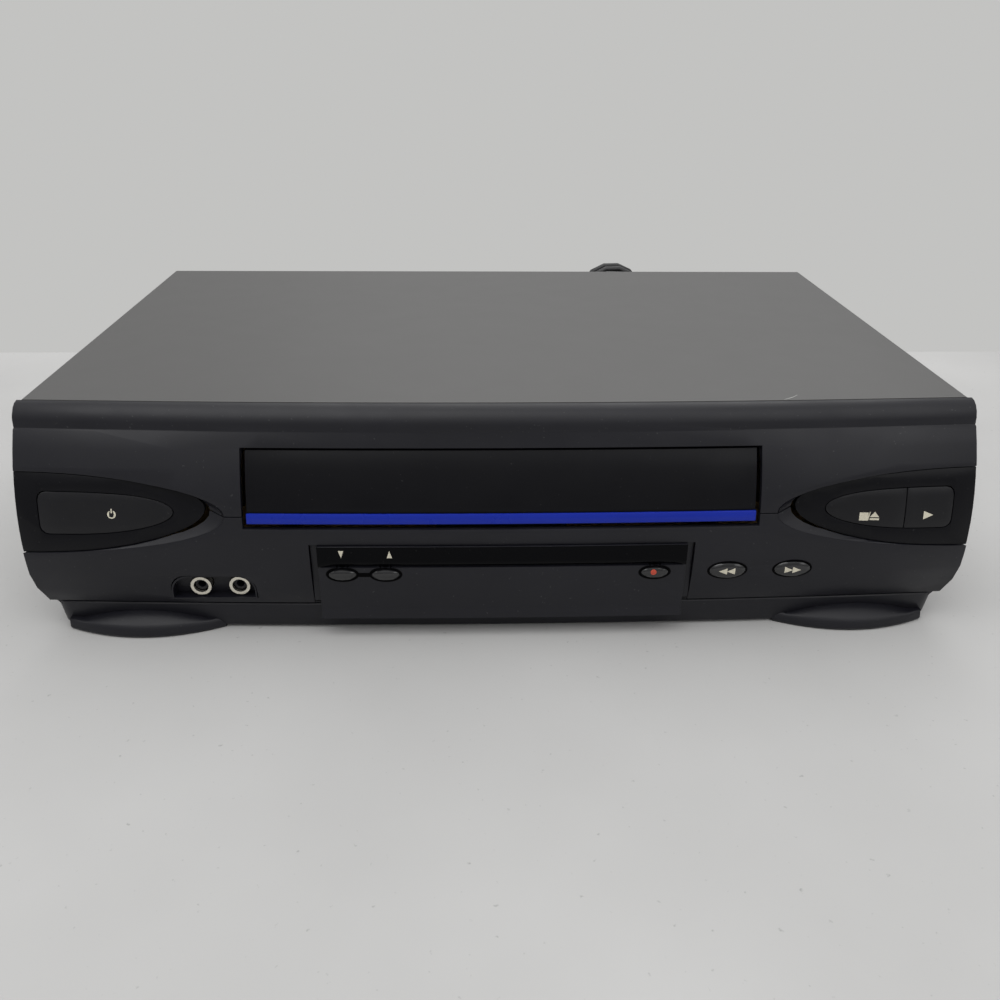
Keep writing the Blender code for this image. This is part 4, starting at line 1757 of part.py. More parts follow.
def least_self_gap(points, radius):
    """Return the least gap of a tube to itself, measured between points that are not neighbours."""
    skip = HANK_LOOP_POINTS // 3
    least = min((points[first] - points[second]).length
                for first in range(len(points)) for second in range(first + skip, len(points)))
    return least - 2 * radius


def free_lead():
    """Return the lead's free stretch from the strain relief to the start of the hank."""
    hank = hank_path()
    end = hank[0]
    start = Vector((CORD_EXIT_X, REAR_FACE_Y - REAR_PANEL_THICKNESS - WALL + RELIEF_LENGTH + GAP, CORD_EXIT_Z))
    step = 2 * CORD_RADIUS
    along = (hank[1] - hank[0]).normalized()
    arrival = end - along * GAP
    turns = [start, start + Vector((0, step, 0))]
    turns += [start + Vector(share) * step for share in LEAD_TURN_SHARES]
    turns += [arrival + Vector(share) * step for share in LEAD_ARRIVAL_SHARES]
    return smooth_path(turns + [arrival - along * step, arrival], LEAD_STEPS)


def mains_cord(material):
    """Sweep the free stretch."""
    return finish(tube(free_lead(), CORD_RADIUS, 2), "mains_cord", material, smooth_angle=math.radians(80.0))


def cord_hank(material):
    """Sweep the hank's loops as one unbroken tube."""
    path = hank_path()
    print("least gap of the hank to itself:", round(least_self_gap(path, CORD_RADIUS), 5), "m")
    return finish(tube(path, CORD_RADIUS, 1), "cord_hank", material, smooth_angle=math.radians(80.0))


def tail_path():
    """Return the short end of the lead from the last loop down to the plug's neck."""
    hank = hank_path()
    step = 2 * CORD_RADIUS
    along = (hank[-1] - hank[-2]).normalized()
    start = hank[-1] + along * GAP
    end = Vector((HANK_X + HANK_FOLD_RADIUS, PLUG_Y - PLUG_LENGTH / 2 - PLUG_NECK_LENGTH - GAP, PLUG_HALF_HEIGHT))
    turns = [start, start + along * step]
    turns += [start + Vector(share) * step for share in TAIL_TURN_SHARES]
    turns += [end + Vector(share) * step for share in TAIL_ARRIVAL_SHARES]
    return smooth_path(turns + [end - Vector((0, step, 0)), end], LEAD_STEPS)


def mains_tail(material):
    """Sweep the lead's last stretch."""
    return finish(tube(tail_path(), CORD_RADIUS, 2), "mains_tail", material, smooth_angle=math.radians(80.0))


def cord_tie(material):
    """Bend the tie round the waist of the hank, just above where the lead comes in."""
    hank = hank_path()
    level = hank[0].z + TIE_LIFT
    reach = TIE_LIFT + TIE_WIDTH / 2
    slack = HANK_DRAW * reach / HANK_RUN * 2
    strands = [point for point in hank if abs(point.z - hank[0].z) < CORD_RADIUS]
    low = [min(point[axis] for point in strands) - CORD_RADIUS - GAP for axis in (0, 1)]
    high = [max(point[axis] for point in strands) + CORD_RADIUS + GAP for axis in (0, 1)]
    low[0] -= slack
    high[0] += slack
    inner = rounded_rectangle(low, high, TIE_CORNER)
    outer = rounded_rectangle([side - TIE_THICKNESS for side in low], [side + TIE_THICKNESS for side in high],
                              TIE_CORNER + TIE_THICKNESS)
    band = prism(outer, level - TIE_WIDTH / 2, level + TIE_WIDTH / 2, "Z")
    cut(band, prism(inner, level - TIE_WIDTH, level + TIE_WIDTH, "Z"))
    return finish(band, "cord_tie", material)


def mains_plug(material):
    """Mould the plug: a waisted body with a ribbed neck and two flat blades."""
    x, z = HANK_X + HANK_FOLD_RADIUS, PLUG_HALF_HEIGHT
    rear = PLUG_Y - PLUG_LENGTH / 2
    stations = ((-PLUG_NECK_LENGTH, CORD_RADIUS + SHEET, CORD_RADIUS + SHEET), (0.0, CORD_RADIUS + WALL, CORD_RADIUS + WALL),
                (PLUG_LENGTH / 4, PLUG_RADIUS * 3 / 4, PLUG_HALF_HEIGHT),
                (PLUG_LENGTH / 2, PLUG_RADIUS * 2 / 3, PLUG_HALF_HEIGHT * 4 / 5),
                (PLUG_LENGTH * 4 / 5, PLUG_RADIUS, PLUG_HALF_HEIGHT), (PLUG_LENGTH, PLUG_RADIUS, PLUG_HALF_HEIGHT))
    plug = loft([[(px, rear + along, pz) for px, pz in ellipse((x, z), wide, high, ROUND_STEPS)]
                 for along, wide, high in stations])
    for side in (-1, 1):
        blade_x = x + side * BLADE_SPREAD
        outline = rounded_rectangle((z - BLADE_HALF_WIDTH, rear + PLUG_LENGTH - WALL),
                                    (z + BLADE_HALF_WIDTH, rear + PLUG_LENGTH + BLADE_LENGTH), BLADE_HALF_WIDTH / 2, 2)
        join(plug, prism([(along, height) for height, along in outline], blade_x - SHEET, blade_x + SHEET, "X"))
    return finish(plug, "mains_plug", material)


def main():
    """Build every piece."""
    clear_scene()
    paint = {
        "case": make_material("panel_black", (0.018, 0.019, 0.023), 0.42),
        "steel": make_material("cover_paint", (0.060, 0.060, 0.058), 0.55, 0.2),
        "gloss": make_material("gloss_black", (0.010, 0.010, 0.012), 0.15, 0.0, 0.5),
        "bar": make_material("bar_blue", (0.012, 0.035, 0.420), 0.25, 0.0, 0.3),
        "window": make_material("smoked_window", (0.004, 0.004, 0.005), 0.08, 0.0, 0.6),
        "button": make_material("button_black", (0.014, 0.015, 0.017), 0.38),
        "nickel": make_material("socket_nickel", (0.62, 0.60, 0.55), 0.28, 1.0),
        "zinc": make_material("zinc_sheet", (0.52, 0.53, 0.54), 0.36, 1.0),
        "board": make_material("board_tan", (0.36, 0.24, 0.10), 0.60),
        "glass": make_material("display_glass", (0.05, 0.07, 0.07), 0.10),
        "aluminium": make_material("turned_aluminium", (0.70, 0.71, 0.72), 0.25, 1.0),
        "nylon": make_material("white_nylon", (0.62, 0.60, 0.55), 0.50),
        "rubber": make_material("black_rubber", (0.012, 0.012, 0.012), 0.75),
        "copper": make_material("transformer_iron", (0.20, 0.17, 0.15), 0.50, 0.6),
        "sleeve": make_material("capacitor_sleeve", (0.02, 0.03, 0.06), 0.35),
        "screw": make_material("black_screw", (0.03, 0.03, 0.03), 0.35, 0.9),
        "cord": make_material("cord_vinyl", (0.013, 0.013, 0.014), 0.50),
        "brass": make_material("plug_brass", (0.55, 0.42, 0.20), 0.30, 1.0),
    }
    bottom_chassis(paint["case"])
    for side, name in ((-1, "left"), (1, "right")):
        front_foot(side, "front_foot_" + name, paint["case"])
        rear_foot(side, "rear_foot_" + name, paint["rubber"])
        cover_screw(side, "cover_screw_" + name, paint["screw"])
        eye_panel(side, "eye_panel_" + name, paint["gloss"])
        circuit_board(side, "main_board" if side < 0 else "power_board", paint["board"])
        guide_carriage(side, "guide_carriage_" + name, paint["zinc"])
    top_cover(paint["steel"])
    shell = panel_shell()
    front_panel_upper(copy_of(shell), paint["case"])
    front_panel_lower(shell, paint["case"])
    display_bezel(paint["case"])
    display_window(paint["window"])
    cassette_door(paint["gloss"])
    door_bar(paint["bar"])

    divide = PLAY_DIVIDE_X
    whole = eye_button_outline()
    eye_button(mirrored(whole), "power_button", paint["button"])
    eye_button(kept_side(whole, divide - GAP / 2, -1), "stop_eject_button", paint["button"])
    eye_button(kept_side(whole, divide + GAP / 2, 1), "play_button", paint["button"])
    search = (SEARCH_HALF_WIDTH, SEARCH_HALF_HEIGHT)
    small = (BEZEL_BUTTON_HALF_WIDTH, BEZEL_BUTTON_HALF_HEIGHT)
    oval_button((REWIND_X, SEARCH_Z), *search, face_y, "rewind_button", paint["button"])
    oval_button((FORWARD_X, SEARCH_Z), *search, face_y, "forward_button", paint["button"])
    oval_button((CHANNEL_DOWN_X, BEZEL_BUTTON_Z), *small, bezel_front, "channel_down_button", paint["button"])
    oval_button((CHANNEL_UP_X, BEZEL_BUTTON_Z), *small, bezel_front, "channel_up_button", paint["button"])
    oval_button((RECORD_X, BEZEL_BUTTON_Z), *small, bezel_front, "record_button", paint["button"])

    front_sockets(paint["case"], paint["nickel"])
    operation_board(paint["board"])
    display_tube(paint["glass"])

    rear_panel(paint["case"])
    rear_sockets(paint["case"], paint["nickel"])
    tuner_box(paint["zinc"])
    power_transformer(paint["copper"])
    filter_capacitor(paint["sleeve"])

    deck_plate(paint["zinc"])
    lower_drum(paint["aluminium"])
    upper_drum(paint["aluminium"])
    reel_table(-1, "supply_reel_table", paint["nylon"])
    reel_table(1, "takeup_reel_table", paint["nylon"])
    capstan(paint["zinc"])
    capstan_bearing(paint["brass"])
    pinch_arm(paint["zinc"])
    pinch_roller(paint["rubber"])
    tape_head(ERASE_HEAD_X, ERASE_HEAD_Y, "full_erase_head", paint["zinc"])
    tape_head(CONTROL_HEAD_X, CONTROL_HEAD_Y, "audio_control_head", paint["zinc"])
    loading_motor(paint["zinc"])
    cassette_cage(paint["zinc"])
    loading_slider(paint["zinc"])
    cassette_holder(paint["zinc"])
    loading_gear(paint["nylon"])
    strain_relief(paint["cord"])
    mains_cord(paint["cord"])
    cord_hank(paint["cord"])
    mains_tail(paint["cord"])
    cord_tie(paint["cord"])
    mains_plug(paint["cord"])


main()
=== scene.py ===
import json
import math

import bmesh
import bpy
from mathutils import Matrix, Vector
from mathutils.bvhtree import BVHTree


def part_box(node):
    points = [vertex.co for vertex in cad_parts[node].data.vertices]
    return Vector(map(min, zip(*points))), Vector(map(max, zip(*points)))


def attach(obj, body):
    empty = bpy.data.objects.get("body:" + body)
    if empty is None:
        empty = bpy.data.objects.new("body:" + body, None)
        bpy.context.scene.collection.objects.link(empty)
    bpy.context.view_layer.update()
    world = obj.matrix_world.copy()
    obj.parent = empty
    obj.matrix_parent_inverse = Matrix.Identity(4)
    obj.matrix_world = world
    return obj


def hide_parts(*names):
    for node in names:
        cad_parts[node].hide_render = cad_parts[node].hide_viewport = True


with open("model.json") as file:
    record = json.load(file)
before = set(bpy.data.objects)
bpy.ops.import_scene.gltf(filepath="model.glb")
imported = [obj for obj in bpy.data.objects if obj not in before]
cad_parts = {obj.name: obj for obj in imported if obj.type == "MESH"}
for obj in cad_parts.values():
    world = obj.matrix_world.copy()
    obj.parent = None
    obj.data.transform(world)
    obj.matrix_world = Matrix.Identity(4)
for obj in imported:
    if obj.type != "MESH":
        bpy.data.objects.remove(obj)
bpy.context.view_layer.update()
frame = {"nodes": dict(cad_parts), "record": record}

NODES = frame["nodes"]

# Places shared with the frame
SEAM_Y = -0.0868433
REAR_Y = SEAM_Y + 0.201
CASE_HEIGHT = 0.089
CORD_RADIUS = 0.0017

# Photograph's camera
CAMERA_PLACE = Vector((-0.01214, SEAM_Y - 0.31968, 0.21274))
PITCH = 0.48187
YAW = -0.03652
ROLL = 0.01067
FOCAL_PIXELS = 900.0
IMAGE_PIXELS = 1000.0

# Rays that look for the front's surface start here and go inward
PROBE_Y = -0.3
INWARD = Vector((0, 1, 0))

# Front pieces that the scene adds or replaces
PANEL_BOW = 0.0047
PANEL_HALF_WIDTH = 0.181
SKIRT_TOP_Z = 0.0124
SKIRT_LOW_Z = 0.0013
SKIRT_THICKNESS = 0.0011
SKIRT_LEAN = 0.0014
SKIRT_HALF_WIDTH = 0.1757
SKIRT_CORNER = 0.0060
SKIRT_REACH = 0.0194
SKIRT_RETURN = (-0.0520, -0.0700, -0.0880)
TOE_X = 0.1405
TOE_HALF_WIDTH = 0.0305
TOE_REACH = 0.0195
TOE_BACK = 0.0130
TOE_SWELL = 0.0072
TOE_LENS_SHARE = 0.80
TOE_END_POWER = 0.9
TOE_WALL_Z = 0.0044
TOE_WALL_RISE = 0.0013
TOE_CROWN_Z = 0.0046
TOE_CROWN_RISE = 0.0040
TOE_EDGE_DEPTH = 0.0011
TOE_EDGE_MORE = 0.0006
BEZEL_LOW_Z = 0.0087
LIP_TOP_Z = 0.0113
LIP_HEIGHT = 0.0022
LIP_LEAN = 0.0004
LIP_BAND = 0.0030
LIP_EDGE = 0.0010
BEZEL_FACE_Z = 0.0180
BEZEL_FRONT_DEPTH = 0.0012
STRIP_LOW_Z = 0.0316
STRIP_HALF_WIDTH = 0.0702
STRIP_PROUD = 0.00022
STRIP_REAR_PROUD = 0.00004
STRIP_TOP_GAP = 0.00005
STRIP_PROBE_INSET = 0.0003
STRIP_SIGN_THICKNESS = 0.00029
# Painted shade: near-black bands laid round the domed buttons and along the channel slot stand in for the
# shade in these recesses
WELL_CLEARANCE = 0.00032
WELL_WIDTH = 0.0009
BEZEL_WELL_WIDTH = 0.0011
WELL_TALL_SHARE = 0.85
WELL_THICKNESS = 0.00006
CHANNEL_SLOT_INSET = 0.0061
CHANNEL_SLOT_LOW = -0.0011
CHANNEL_SLOT_HIGH = 0.0007

# Places of the printed signs and of the scratch, in pixels of the photograph
POWER_PIXEL = (111.5, 514.5)
STOP_PIXEL = (863.8, 516.5)
EJECT_PIXEL = (874.6, 516.2)
STROKE_PIXEL = (868.9, 516.3)
PLAY_PIXEL = (928.3, 515.0)
REWIND_PIXEL = (727.0, 571.5)
FORWARD_PIXEL = (793.0, 570.0)
CHANNEL_DOWN_PIXEL = (340.8, 554.3)
CHANNEL_UP_PIXEL = (389.3, 554.3)
RECORD_PIXEL = (653.6, 572.3)
SCRATCH_PIXELS = ((784.0, 399.6), (788.0, 398.6), (792.5, 397.4), (797.5, 394.8))
SCRATCH_HALF_WIDTH = 0.00012
SCRATCH_TIP_HALF_WIDTH = 0.00003

# Rear sockets, at the same places as their nodes, and the plug's details
SOCKET_ROWS = ((0.0440, "insulator_yellow"), (0.0280, "insulator_white"))
SOCKET_COLUMNS = (-0.1550, -0.1390)
PLUG_GROOVE = 0.0005
BLADE_SPACING = 0.0064
BLADE_HALF_WIDTH = 0.0031
BLADE_HALF_THICKNESS = 0.00075
BLADE_START = 0.0322

# Stage and light; the picture turns from table to wall at WALL_Y
WALL_Y = 0.2372
WALL_BLEND = 0.0010
FADE_NEAR = 0.65
FADE_FAR = 1.5
TABLE_HALF_SIZE = 4.0
TABLE_CELLS = 24
TABLE_LOW = (0.470, 0.468, 0.462)
TABLE_HIGH = (0.520, 0.518, 0.512)
WALL_TONE = (0.545, 0.545, 0.535)
SKY_LOW = 0.26
SKY_HIGH = 0.95
LIGHTS = (
    ("key", (-0.5, -0.5, 1.5), 1.4, 9.0),
    ("fill", (0.9, -0.9, 1.1), 1.2, 4.0),
    ("back", (0.2, 1.0, 1.3), 1.5, 7.0),
)

# Mains lead, with the same sizes as its nodes
GAP = 0.0003
CORD_EXIT = (0.1120, 0.1245567, 0.0280)
HANK_X = 0.0720
HANK_GAP = 0.0035
HANK_RUN = 0.0522
HANK_FOLD_RADIUS = 0.0103
HANK_PITCH = 0.0040
HANK_DRAW = 0.0045
HANK_LAYERS = 4
HANK_TURNS = 2
HANK_LOOP_POINTS = 24
CLIMB_SHARE = 0.1
FLOOR_CLEARANCE = 0.0002
LEAD_STEPS = 4

# Turning points, in lead diameters from the end that they belong to
LEAD_TURN_SHARES = ((-1.6, 2.0, -0.7), (-3.3, 1.1, -2.0), (-4.3, -1.6, -3.0), (-5.4, -3.7, -2.8))
LEAD_ARRIVAL_SHARES = ((1.6, -2.4, -6.2), (0.3, -2.3, -4.2), (0.0, -1.2, -2.2))
TAIL_TURN_SHARES = ((-0.4, 0.8, 1.7), (-0.4, 2.3, 2.4), (-0.1, 3.8, 1.4), (0.0, 4.6, -0.6))
TAIL_ARRIVAL_SHARES = ((0.0, -3.0, 0.6),)

PLUG_Y = 0.1800
PLUG_LENGTH = 0.0230
PLUG_NECK_LENGTH = 0.0100
PLUG_HALF_HEIGHT = 0.0100
NEAREST_POINTS = 0.0009
ROUTE_DIGITS = 5


def camera_axes():
    """Right, up and forward of the photograph's camera."""
    forward = Vector((-math.sin(YAW) * math.cos(PITCH), math.cos(YAW) * math.cos(PITCH), -math.sin(PITCH)))
    right = Vector((math.cos(YAW), math.sin(YAW), 0.0))
    up = right.cross(forward)
    return (math.cos(ROLL) * right + math.sin(ROLL) * up,
            -math.sin(ROLL) * right + math.cos(ROLL) * up, forward)


def add_camera():
    """Put the camera where the photograph was taken."""
    right, up, forward = camera_axes()
    data = bpy.data.cameras.new("photo_camera")
    data.sensor_width = 36.0
    data.lens = 36.0 * FOCAL_PIXELS / IMAGE_PIXELS
    data.clip_start = 0.01
    data.clip_end = 50.0
    camera = bpy.data.objects.new("photo_camera", data)
    bpy.context.scene.collection.objects.link(camera)
    turn = Matrix((right, up, -forward)).transposed().to_4x4()
    camera.matrix_world = Matrix.Translation(CAMERA_PLACE) @ turn
    bpy.context.scene.camera = camera


def pixel_ray(x, y):
    """Direction from the camera through a pixel of the photograph."""
    right, up, forward = camera_axes()
    half = IMAGE_PIXELS / 2
    return (forward + right * (x - half) / FOCAL_PIXELS - up * (y - half) / FOCAL_PIXELS).normalized()


# Materials

def new_material(name):
    """A node material and its shader."""
    made = bpy.data.materials.new(name)
    made.use_nodes = True
    return made, made.node_tree, made.node_tree.nodes["Principled BSDF"]


def noise(tree, scale, detail=3.0, stretch=(1.0, 1.0, 1.0)):
    """Noise over the object's own metres."""
    place = tree.nodes.new("ShaderNodeTexCoord")
    mapping = tree.nodes.new("ShaderNodeMapping")
    mapping.inputs["Scale"].default_value = stretch
    made = tree.nodes.new("ShaderNodeTexNoise")
    made.inputs["Scale"].default_value = scale
    made.inputs["Detail"].default_value = detail
    tree.links.new(place.outputs["Object"], mapping.inputs["Vector"])
    tree.links.new(mapping.outputs["Vector"], made.inputs["Vector"])
    return made.outputs["Fac"]


def ramp(tree, source, stops):
    """Colour ramp over a grey value."""
    made = tree.nodes.new("ShaderNodeValToRGB")
    while len(made.color_ramp.elements) < len(stops):
        made.color_ramp.elements.new(0.5)
    for element, (place, colour) in zip(made.color_ramp.elements, stops):
        element.position = place
        element.color = (*colour, 1.0)
    tree.links.new(source, made.inputs["Fac"])
    return made.outputs["Color"]


def spread(tree, source, low, high):
    """Map a grey value on a range."""
    made = tree.nodes.new("ShaderNodeMapRange")
    made.inputs["From Min"].default_value = 0.3
    made.inputs["From Max"].default_value = 0.7
    made.inputs["To Min"].default_value = low
    made.inputs["To Max"].default_value = high
    tree.links.new(source, made.inputs["Value"])
    return made.outputs["Result"]


def blended(tree, share, first, second):
    """Mix two colours by a grey value."""
    made = tree.nodes.new("ShaderNodeMix")
    made.data_type = "RGBA"
    tree.links.new(share, made.inputs["Factor"])
    for socket, value in ((made.inputs["A"], first), (made.inputs["B"], second)):
        if isinstance(value, tuple):
            socket.default_value = (*value, 1.0)
        else:
            tree.links.new(value, socket)
    return made.outputs["Result"]


def bump(tree, shader, source, strength, distance):
    """Relief from a grey value, laid over any relief that is there."""
    made = tree.nodes.new("ShaderNodeBump")
    made.inputs["Strength"].default_value = strength
    made.inputs["Distance"].default_value = distance
    if shader.inputs["Normal"].links:
        tree.links.new(shader.inputs["Normal"].links[0].from_socket, made.inputs["Normal"])
    tree.links.new(source, made.inputs["Height"])
    tree.links.new(made.outputs["Normal"], shader.inputs["Normal"])


def shade(colour, factor):
    return tuple(min(c * factor, 1.0) for c in colour)


def grained(name, colour, roughness, grain_scale=2400.0, grain=0.25, depth=0.00003, mottle=0.12,
            dust=0.0, metallic=0.0, coat=0.0, specular=0.5, smudge=0.05, stretch=(1.0, 1.0, 1.0)):
    """Moulded or painted surface: mottled colour, fine grain, faint smudges and dust."""
    made, tree, shader = new_material(name)
    cloud = noise(tree, 24.0, 4.0, stretch)
    tone = ramp(tree, cloud, ((0.3, shade(colour, 1 - mottle)), (0.7, shade(colour, 1 + mottle))))
    if dust:
        specks = noise(tree, 900.0, 1.0)
        fleck = ramp(tree, specks, ((0.74, (0.0, 0.0, 0.0)), (0.80, (dust, dust, dust))))
        tone = blended(tree, fleck, tone, (0.30, 0.30, 0.29))
    tree.links.new(tone, shader.inputs["Base Color"])
    worn = noise(tree, 60.0, 5.0, stretch)
    tree.links.new(spread(tree, worn, roughness - smudge, roughness + smudge), shader.inputs["Roughness"])
    bump(tree, shader, noise(tree, grain_scale, 2.0, stretch), grain, depth)
    shader.inputs["Metallic"].default_value = metallic
    shader.inputs["Coat Weight"].default_value = coat
    shader.inputs["Coat Roughness"].default_value = 0.08
    shader.inputs["Specular IOR Level"].default_value = specular
    return made


def turned_metal(name, colour, roughness, rings=5200.0):
    """Lathe-turned or drawn metal with fine lines."""
    made, tree, shader = new_material(name)
    lines = noise(tree, rings, 2.0, (0.02, 0.02, 1.0))
    tone = ramp(tree, lines, ((0.3, shade(colour, 0.86)), (0.7, shade(colour, 1.08))))
    tree.links.new(tone, shader.inputs["Base Color"])
    worn = noise(tree, 90.0, 4.0)
    tree.links.new(spread(tree, worn, roughness - 0.06, roughness + 0.08), shader.inputs["Roughness"])
    bump(tree, shader, lines, 0.15, 0.00001)
    shader.inputs["Metallic"].default_value = 1.0
    return made


def make_materials():
    """One material for each slot of the record."""
    return {
        "case_black": grained("case_black", (0.0066, 0.0066, 0.0100), 0.42, dust=0.10, specular=0.36),
        "cover_paint": grained("cover_paint", (0.080, 0.079, 0.077), 0.50, grain_scale=1500.0, grain=0.35,
                               dust=0.04, mottle=0.006, specular=0.5, smudge=0.012),
        "gloss_black": grained("gloss_black", (0.0028, 0.0028, 0.0042), 0.34, grain=0.12, dust=0.06,
                               mottle=0.08, specular=0.17),
        "bar_blue": grained("bar_blue", (0.006, 0.022, 0.32), 0.30, grain=0.08, mottle=0.04, coat=0.1,
                            specular=0.2),
        "smoked_window": grained("smoked_window", (0.0012, 0.0013, 0.0020), 0.12, grain=0.02, dust=0.03,
                                 mottle=0.05, specular=0.08, smudge=0.04),
        "button_black": grained("button_black", (0.0066, 0.0066, 0.0082), 0.36, grain=0.15, dust=0.06,
                                specular=0.28),
        "dome_black": grained("dome_black", (0.0060, 0.0060, 0.0070), 0.16, grain=0.04, dust=0.04,
                              specular=0.75, smudge=0.03),
        # Painted shade: near-black rough colour for the bands laid in the button wells and the channel slot,
        # where only shade falls
        "painted_well_shade": grained("painted_well_shade", (0.0010, 0.0010, 0.0012), 0.70, grain=0.1, specular=0.05),
        "socket_nickel": turned_metal("socket_nickel", (0.80, 0.76, 0.66), 0.24),
        "zinc_sheet": grained("zinc_sheet", (0.52, 0.53, 0.54), 0.36, metallic=1.0, mottle=0.10, grain=0.1),
        "board_tan": grained("board_tan", (0.36, 0.24, 0.10), 0.55, mottle=0.08),
        "display_glass": grained("display_glass", (0.05, 0.07, 0.07), 0.10, grain=0.02, mottle=0.05),
        "turned_aluminium": turned_metal("turned_aluminium", (0.78, 0.79, 0.80), 0.20),
        "white_nylon": grained("white_nylon", (0.62, 0.60, 0.55), 0.48, mottle=0.05),
        "black_rubber": grained("black_rubber", (0.012, 0.012, 0.012), 0.70, grain_scale=1600.0, grain=0.4),
        "core_steel": grained("core_steel", (0.20, 0.17, 0.15), 0.45, stretch=(1.0, 60.0, 1.0), mottle=0.25),
        "capacitor_sleeve": grained("capacitor_sleeve", (0.02, 0.03, 0.06), 0.30, grain=0.1),
        "black_screw": grained("black_screw", (0.03, 0.03, 0.03), 0.35, metallic=0.6),
        "bearing_brass": turned_metal("bearing_brass", (0.62, 0.47, 0.22), 0.28),
        "cord_vinyl": grained("cord_vinyl", (0.013, 0.013, 0.014), 0.42, grain_scale=1200.0, grain=0.2,
                              smudge=0.08),
        "ink": grained("ink", (0.66, 0.62, 0.50), 0.55, mottle=0.10, grain=0.1),
        "red_ink": grained("red_ink", (0.50, 0.06, 0.03), 0.45, mottle=0.08, grain=0.1),
        "bare_metal": grained("bare_metal", (0.55, 0.55, 0.53), 0.40, metallic=0.7, mottle=0.2),
        "insulator_yellow": grained("insulator_yellow", (0.62, 0.44, 0.03), 0.40),
        "insulator_white": grained("insulator_white", (0.68, 0.67, 0.63), 0.40),
        "plug_brass": grained("plug_brass", (0.66, 0.52, 0.27), 0.26, metallic=1.0, mottle=0.08, grain=0.08),
    }


def smoothing_group(angle=32.0):
    """Node group that shades a mesh smoothly up to an angle."""
    group = bpy.data.node_groups.new("smooth_by_angle", "GeometryNodeTree")
    group.is_modifier = True
    group.interface.new_socket(name="Geometry", in_out="INPUT", socket_type="NodeSocketGeometry")
    group.interface.new_socket(name="Geometry", in_out="OUTPUT", socket_type="NodeSocketGeometry")
    start = group.nodes.new("NodeGroupInput")
    end = group.nodes.new("NodeGroupOutput")
    turn = group.nodes.new("GeometryNodeInputMeshEdgeAngle")
    shallow = group.nodes.new("FunctionNodeCompare")
    shallow.data_type = "FLOAT"
    shallow.operation = "LESS_EQUAL"
    shallow.inputs["B"].default_value = math.radians(angle)
    faces = group.nodes.new("GeometryNodeSetShadeSmooth")
    faces.domain = "FACE"
    edges = group.nodes.new("GeometryNodeSetShadeSmooth")
    edges.domain = "EDGE"
    group.links.new(start.outputs["Geometry"], faces.inputs["Geometry"])
    group.links.new(faces.outputs["Geometry"], edges.inputs["Geometry"])
    group.links.new(turn.outputs["Unsigned Angle"], shallow.inputs["A"])
    group.links.new(shallow.outputs["Result"], edges.inputs["Shade Smooth"])
    group.links.new(edges.outputs["Geometry"], end.inputs["Geometry"])
    return group


def softened(node, group, width=0.0, angle=34.0):
    """Weld, round the sharp edges and shade a piece smoothly, with modifiers alone."""
    weld = node.modifiers.new("weld", "WELD")
    weld.merge_threshold = 0.00001
    if width:
        edge = node.modifiers.new("edge", "BEVEL")
        edge.width = width
        edge.segments = 2
        edge.limit_method = "ANGLE"
        edge.angle_limit = math.radians(angle)
        edge.use_clamp_overlap = False
    node.modifiers.new("smooth", "NODES").node_group = group


ROUNDED = {
    "front_panel_upper": 0.00030, "front_panel_lower": 0.00012, "eye_panel_left": 0.00020,
    "eye_panel_right": 0.00020, "power_button": 0.00022, "stop_eject_button": 0.00022, "play_button": 0.00022,
    "cassette_door": 0.00025, "door_bar": 0.00020, "bottom_chassis": 0.00025,
}
DOMED = ("channel_down_button", "channel_up_button", "record_button", "rewind_button", "forward_button")


def dress_frame(materials):
    """Give every frame node its slot's material and smooth shading."""
    slots = {row["node"]: row["material_slot"] for row in frame["record"]["subparts"]}
    group = smoothing_group()
    for name, node in NODES.items():
        node.data.materials.clear()
        node.data.materials.append(materials["dome_black" if name in DOMED else slots[name]])
        for face in node.data.polygons:
            face.material_index = 0
        softened(node, group, ROUNDED.get(name, 0.0))
    return group


# Meshes

def mesh_piece(name, bm, material, body, smooth=True):
    """Make a piece from a bmesh and let it ride on a body."""
    bmesh.ops.recalc_face_normals(bm, faces=bm.faces)
    mesh = bpy.data.meshes.new(name)
    bm.to_mesh(mesh)
    bm.free()
    mesh.materials.append(material)
    if smooth:
        mesh.shade_smooth()
        mesh.set_sharp_from_angle(angle=math.radians(38.0))
    piece = bpy.data.objects.new(name, mesh)
    bpy.context.scene.collection.objects.link(piece)
    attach(piece, body)
    return piece


def turned(profile, place, direction, steps=32):
    """Turn (radius, height) points about an axis through place."""
    bm = bmesh.new()
    turn = Vector((0, 0, 1)).rotation_difference(Vector(direction)).to_matrix()
    rows = []
    for radius, height in profile:
        count = 1 if radius == 0 else steps
        row = []
        for step in range(count):
            angle = 2 * math.pi * step / steps
            arm = Vector((radius * math.cos(angle), radius * math.sin(angle), height))
            row.append(bm.verts.new(Vector(place) + turn @ arm))
        rows.append(row)
    pairs = list(zip(rows, rows[1:]))
    if len(rows[0]) > 1:
        pairs.append((rows[-1], rows[0]))
    for first, second in pairs:
        for step in range(steps):
            after = (step + 1) % steps
            corners = []
            for corner in (first[step % len(first)], first[after % len(first)],
                           second[after % len(second)], second[step % len(second)]):
                if corner not in corners:
                    corners.append(corner)
            if len(corners) > 2:
                bm.faces.new(corners)
    return bm


def surface_of(*names):
    """Search tree over frame nodes at rest."""
    vertices, faces = [], []
    for name in names:
        start = len(vertices)
        mesh = NODES[name].data
        vertices += [vertex.co.copy() for vertex in mesh.vertices]
        faces += [[start + index for index in face.vertices] for face in mesh.polygons]
    return BVHTree.FromPolygons(vertices, faces)


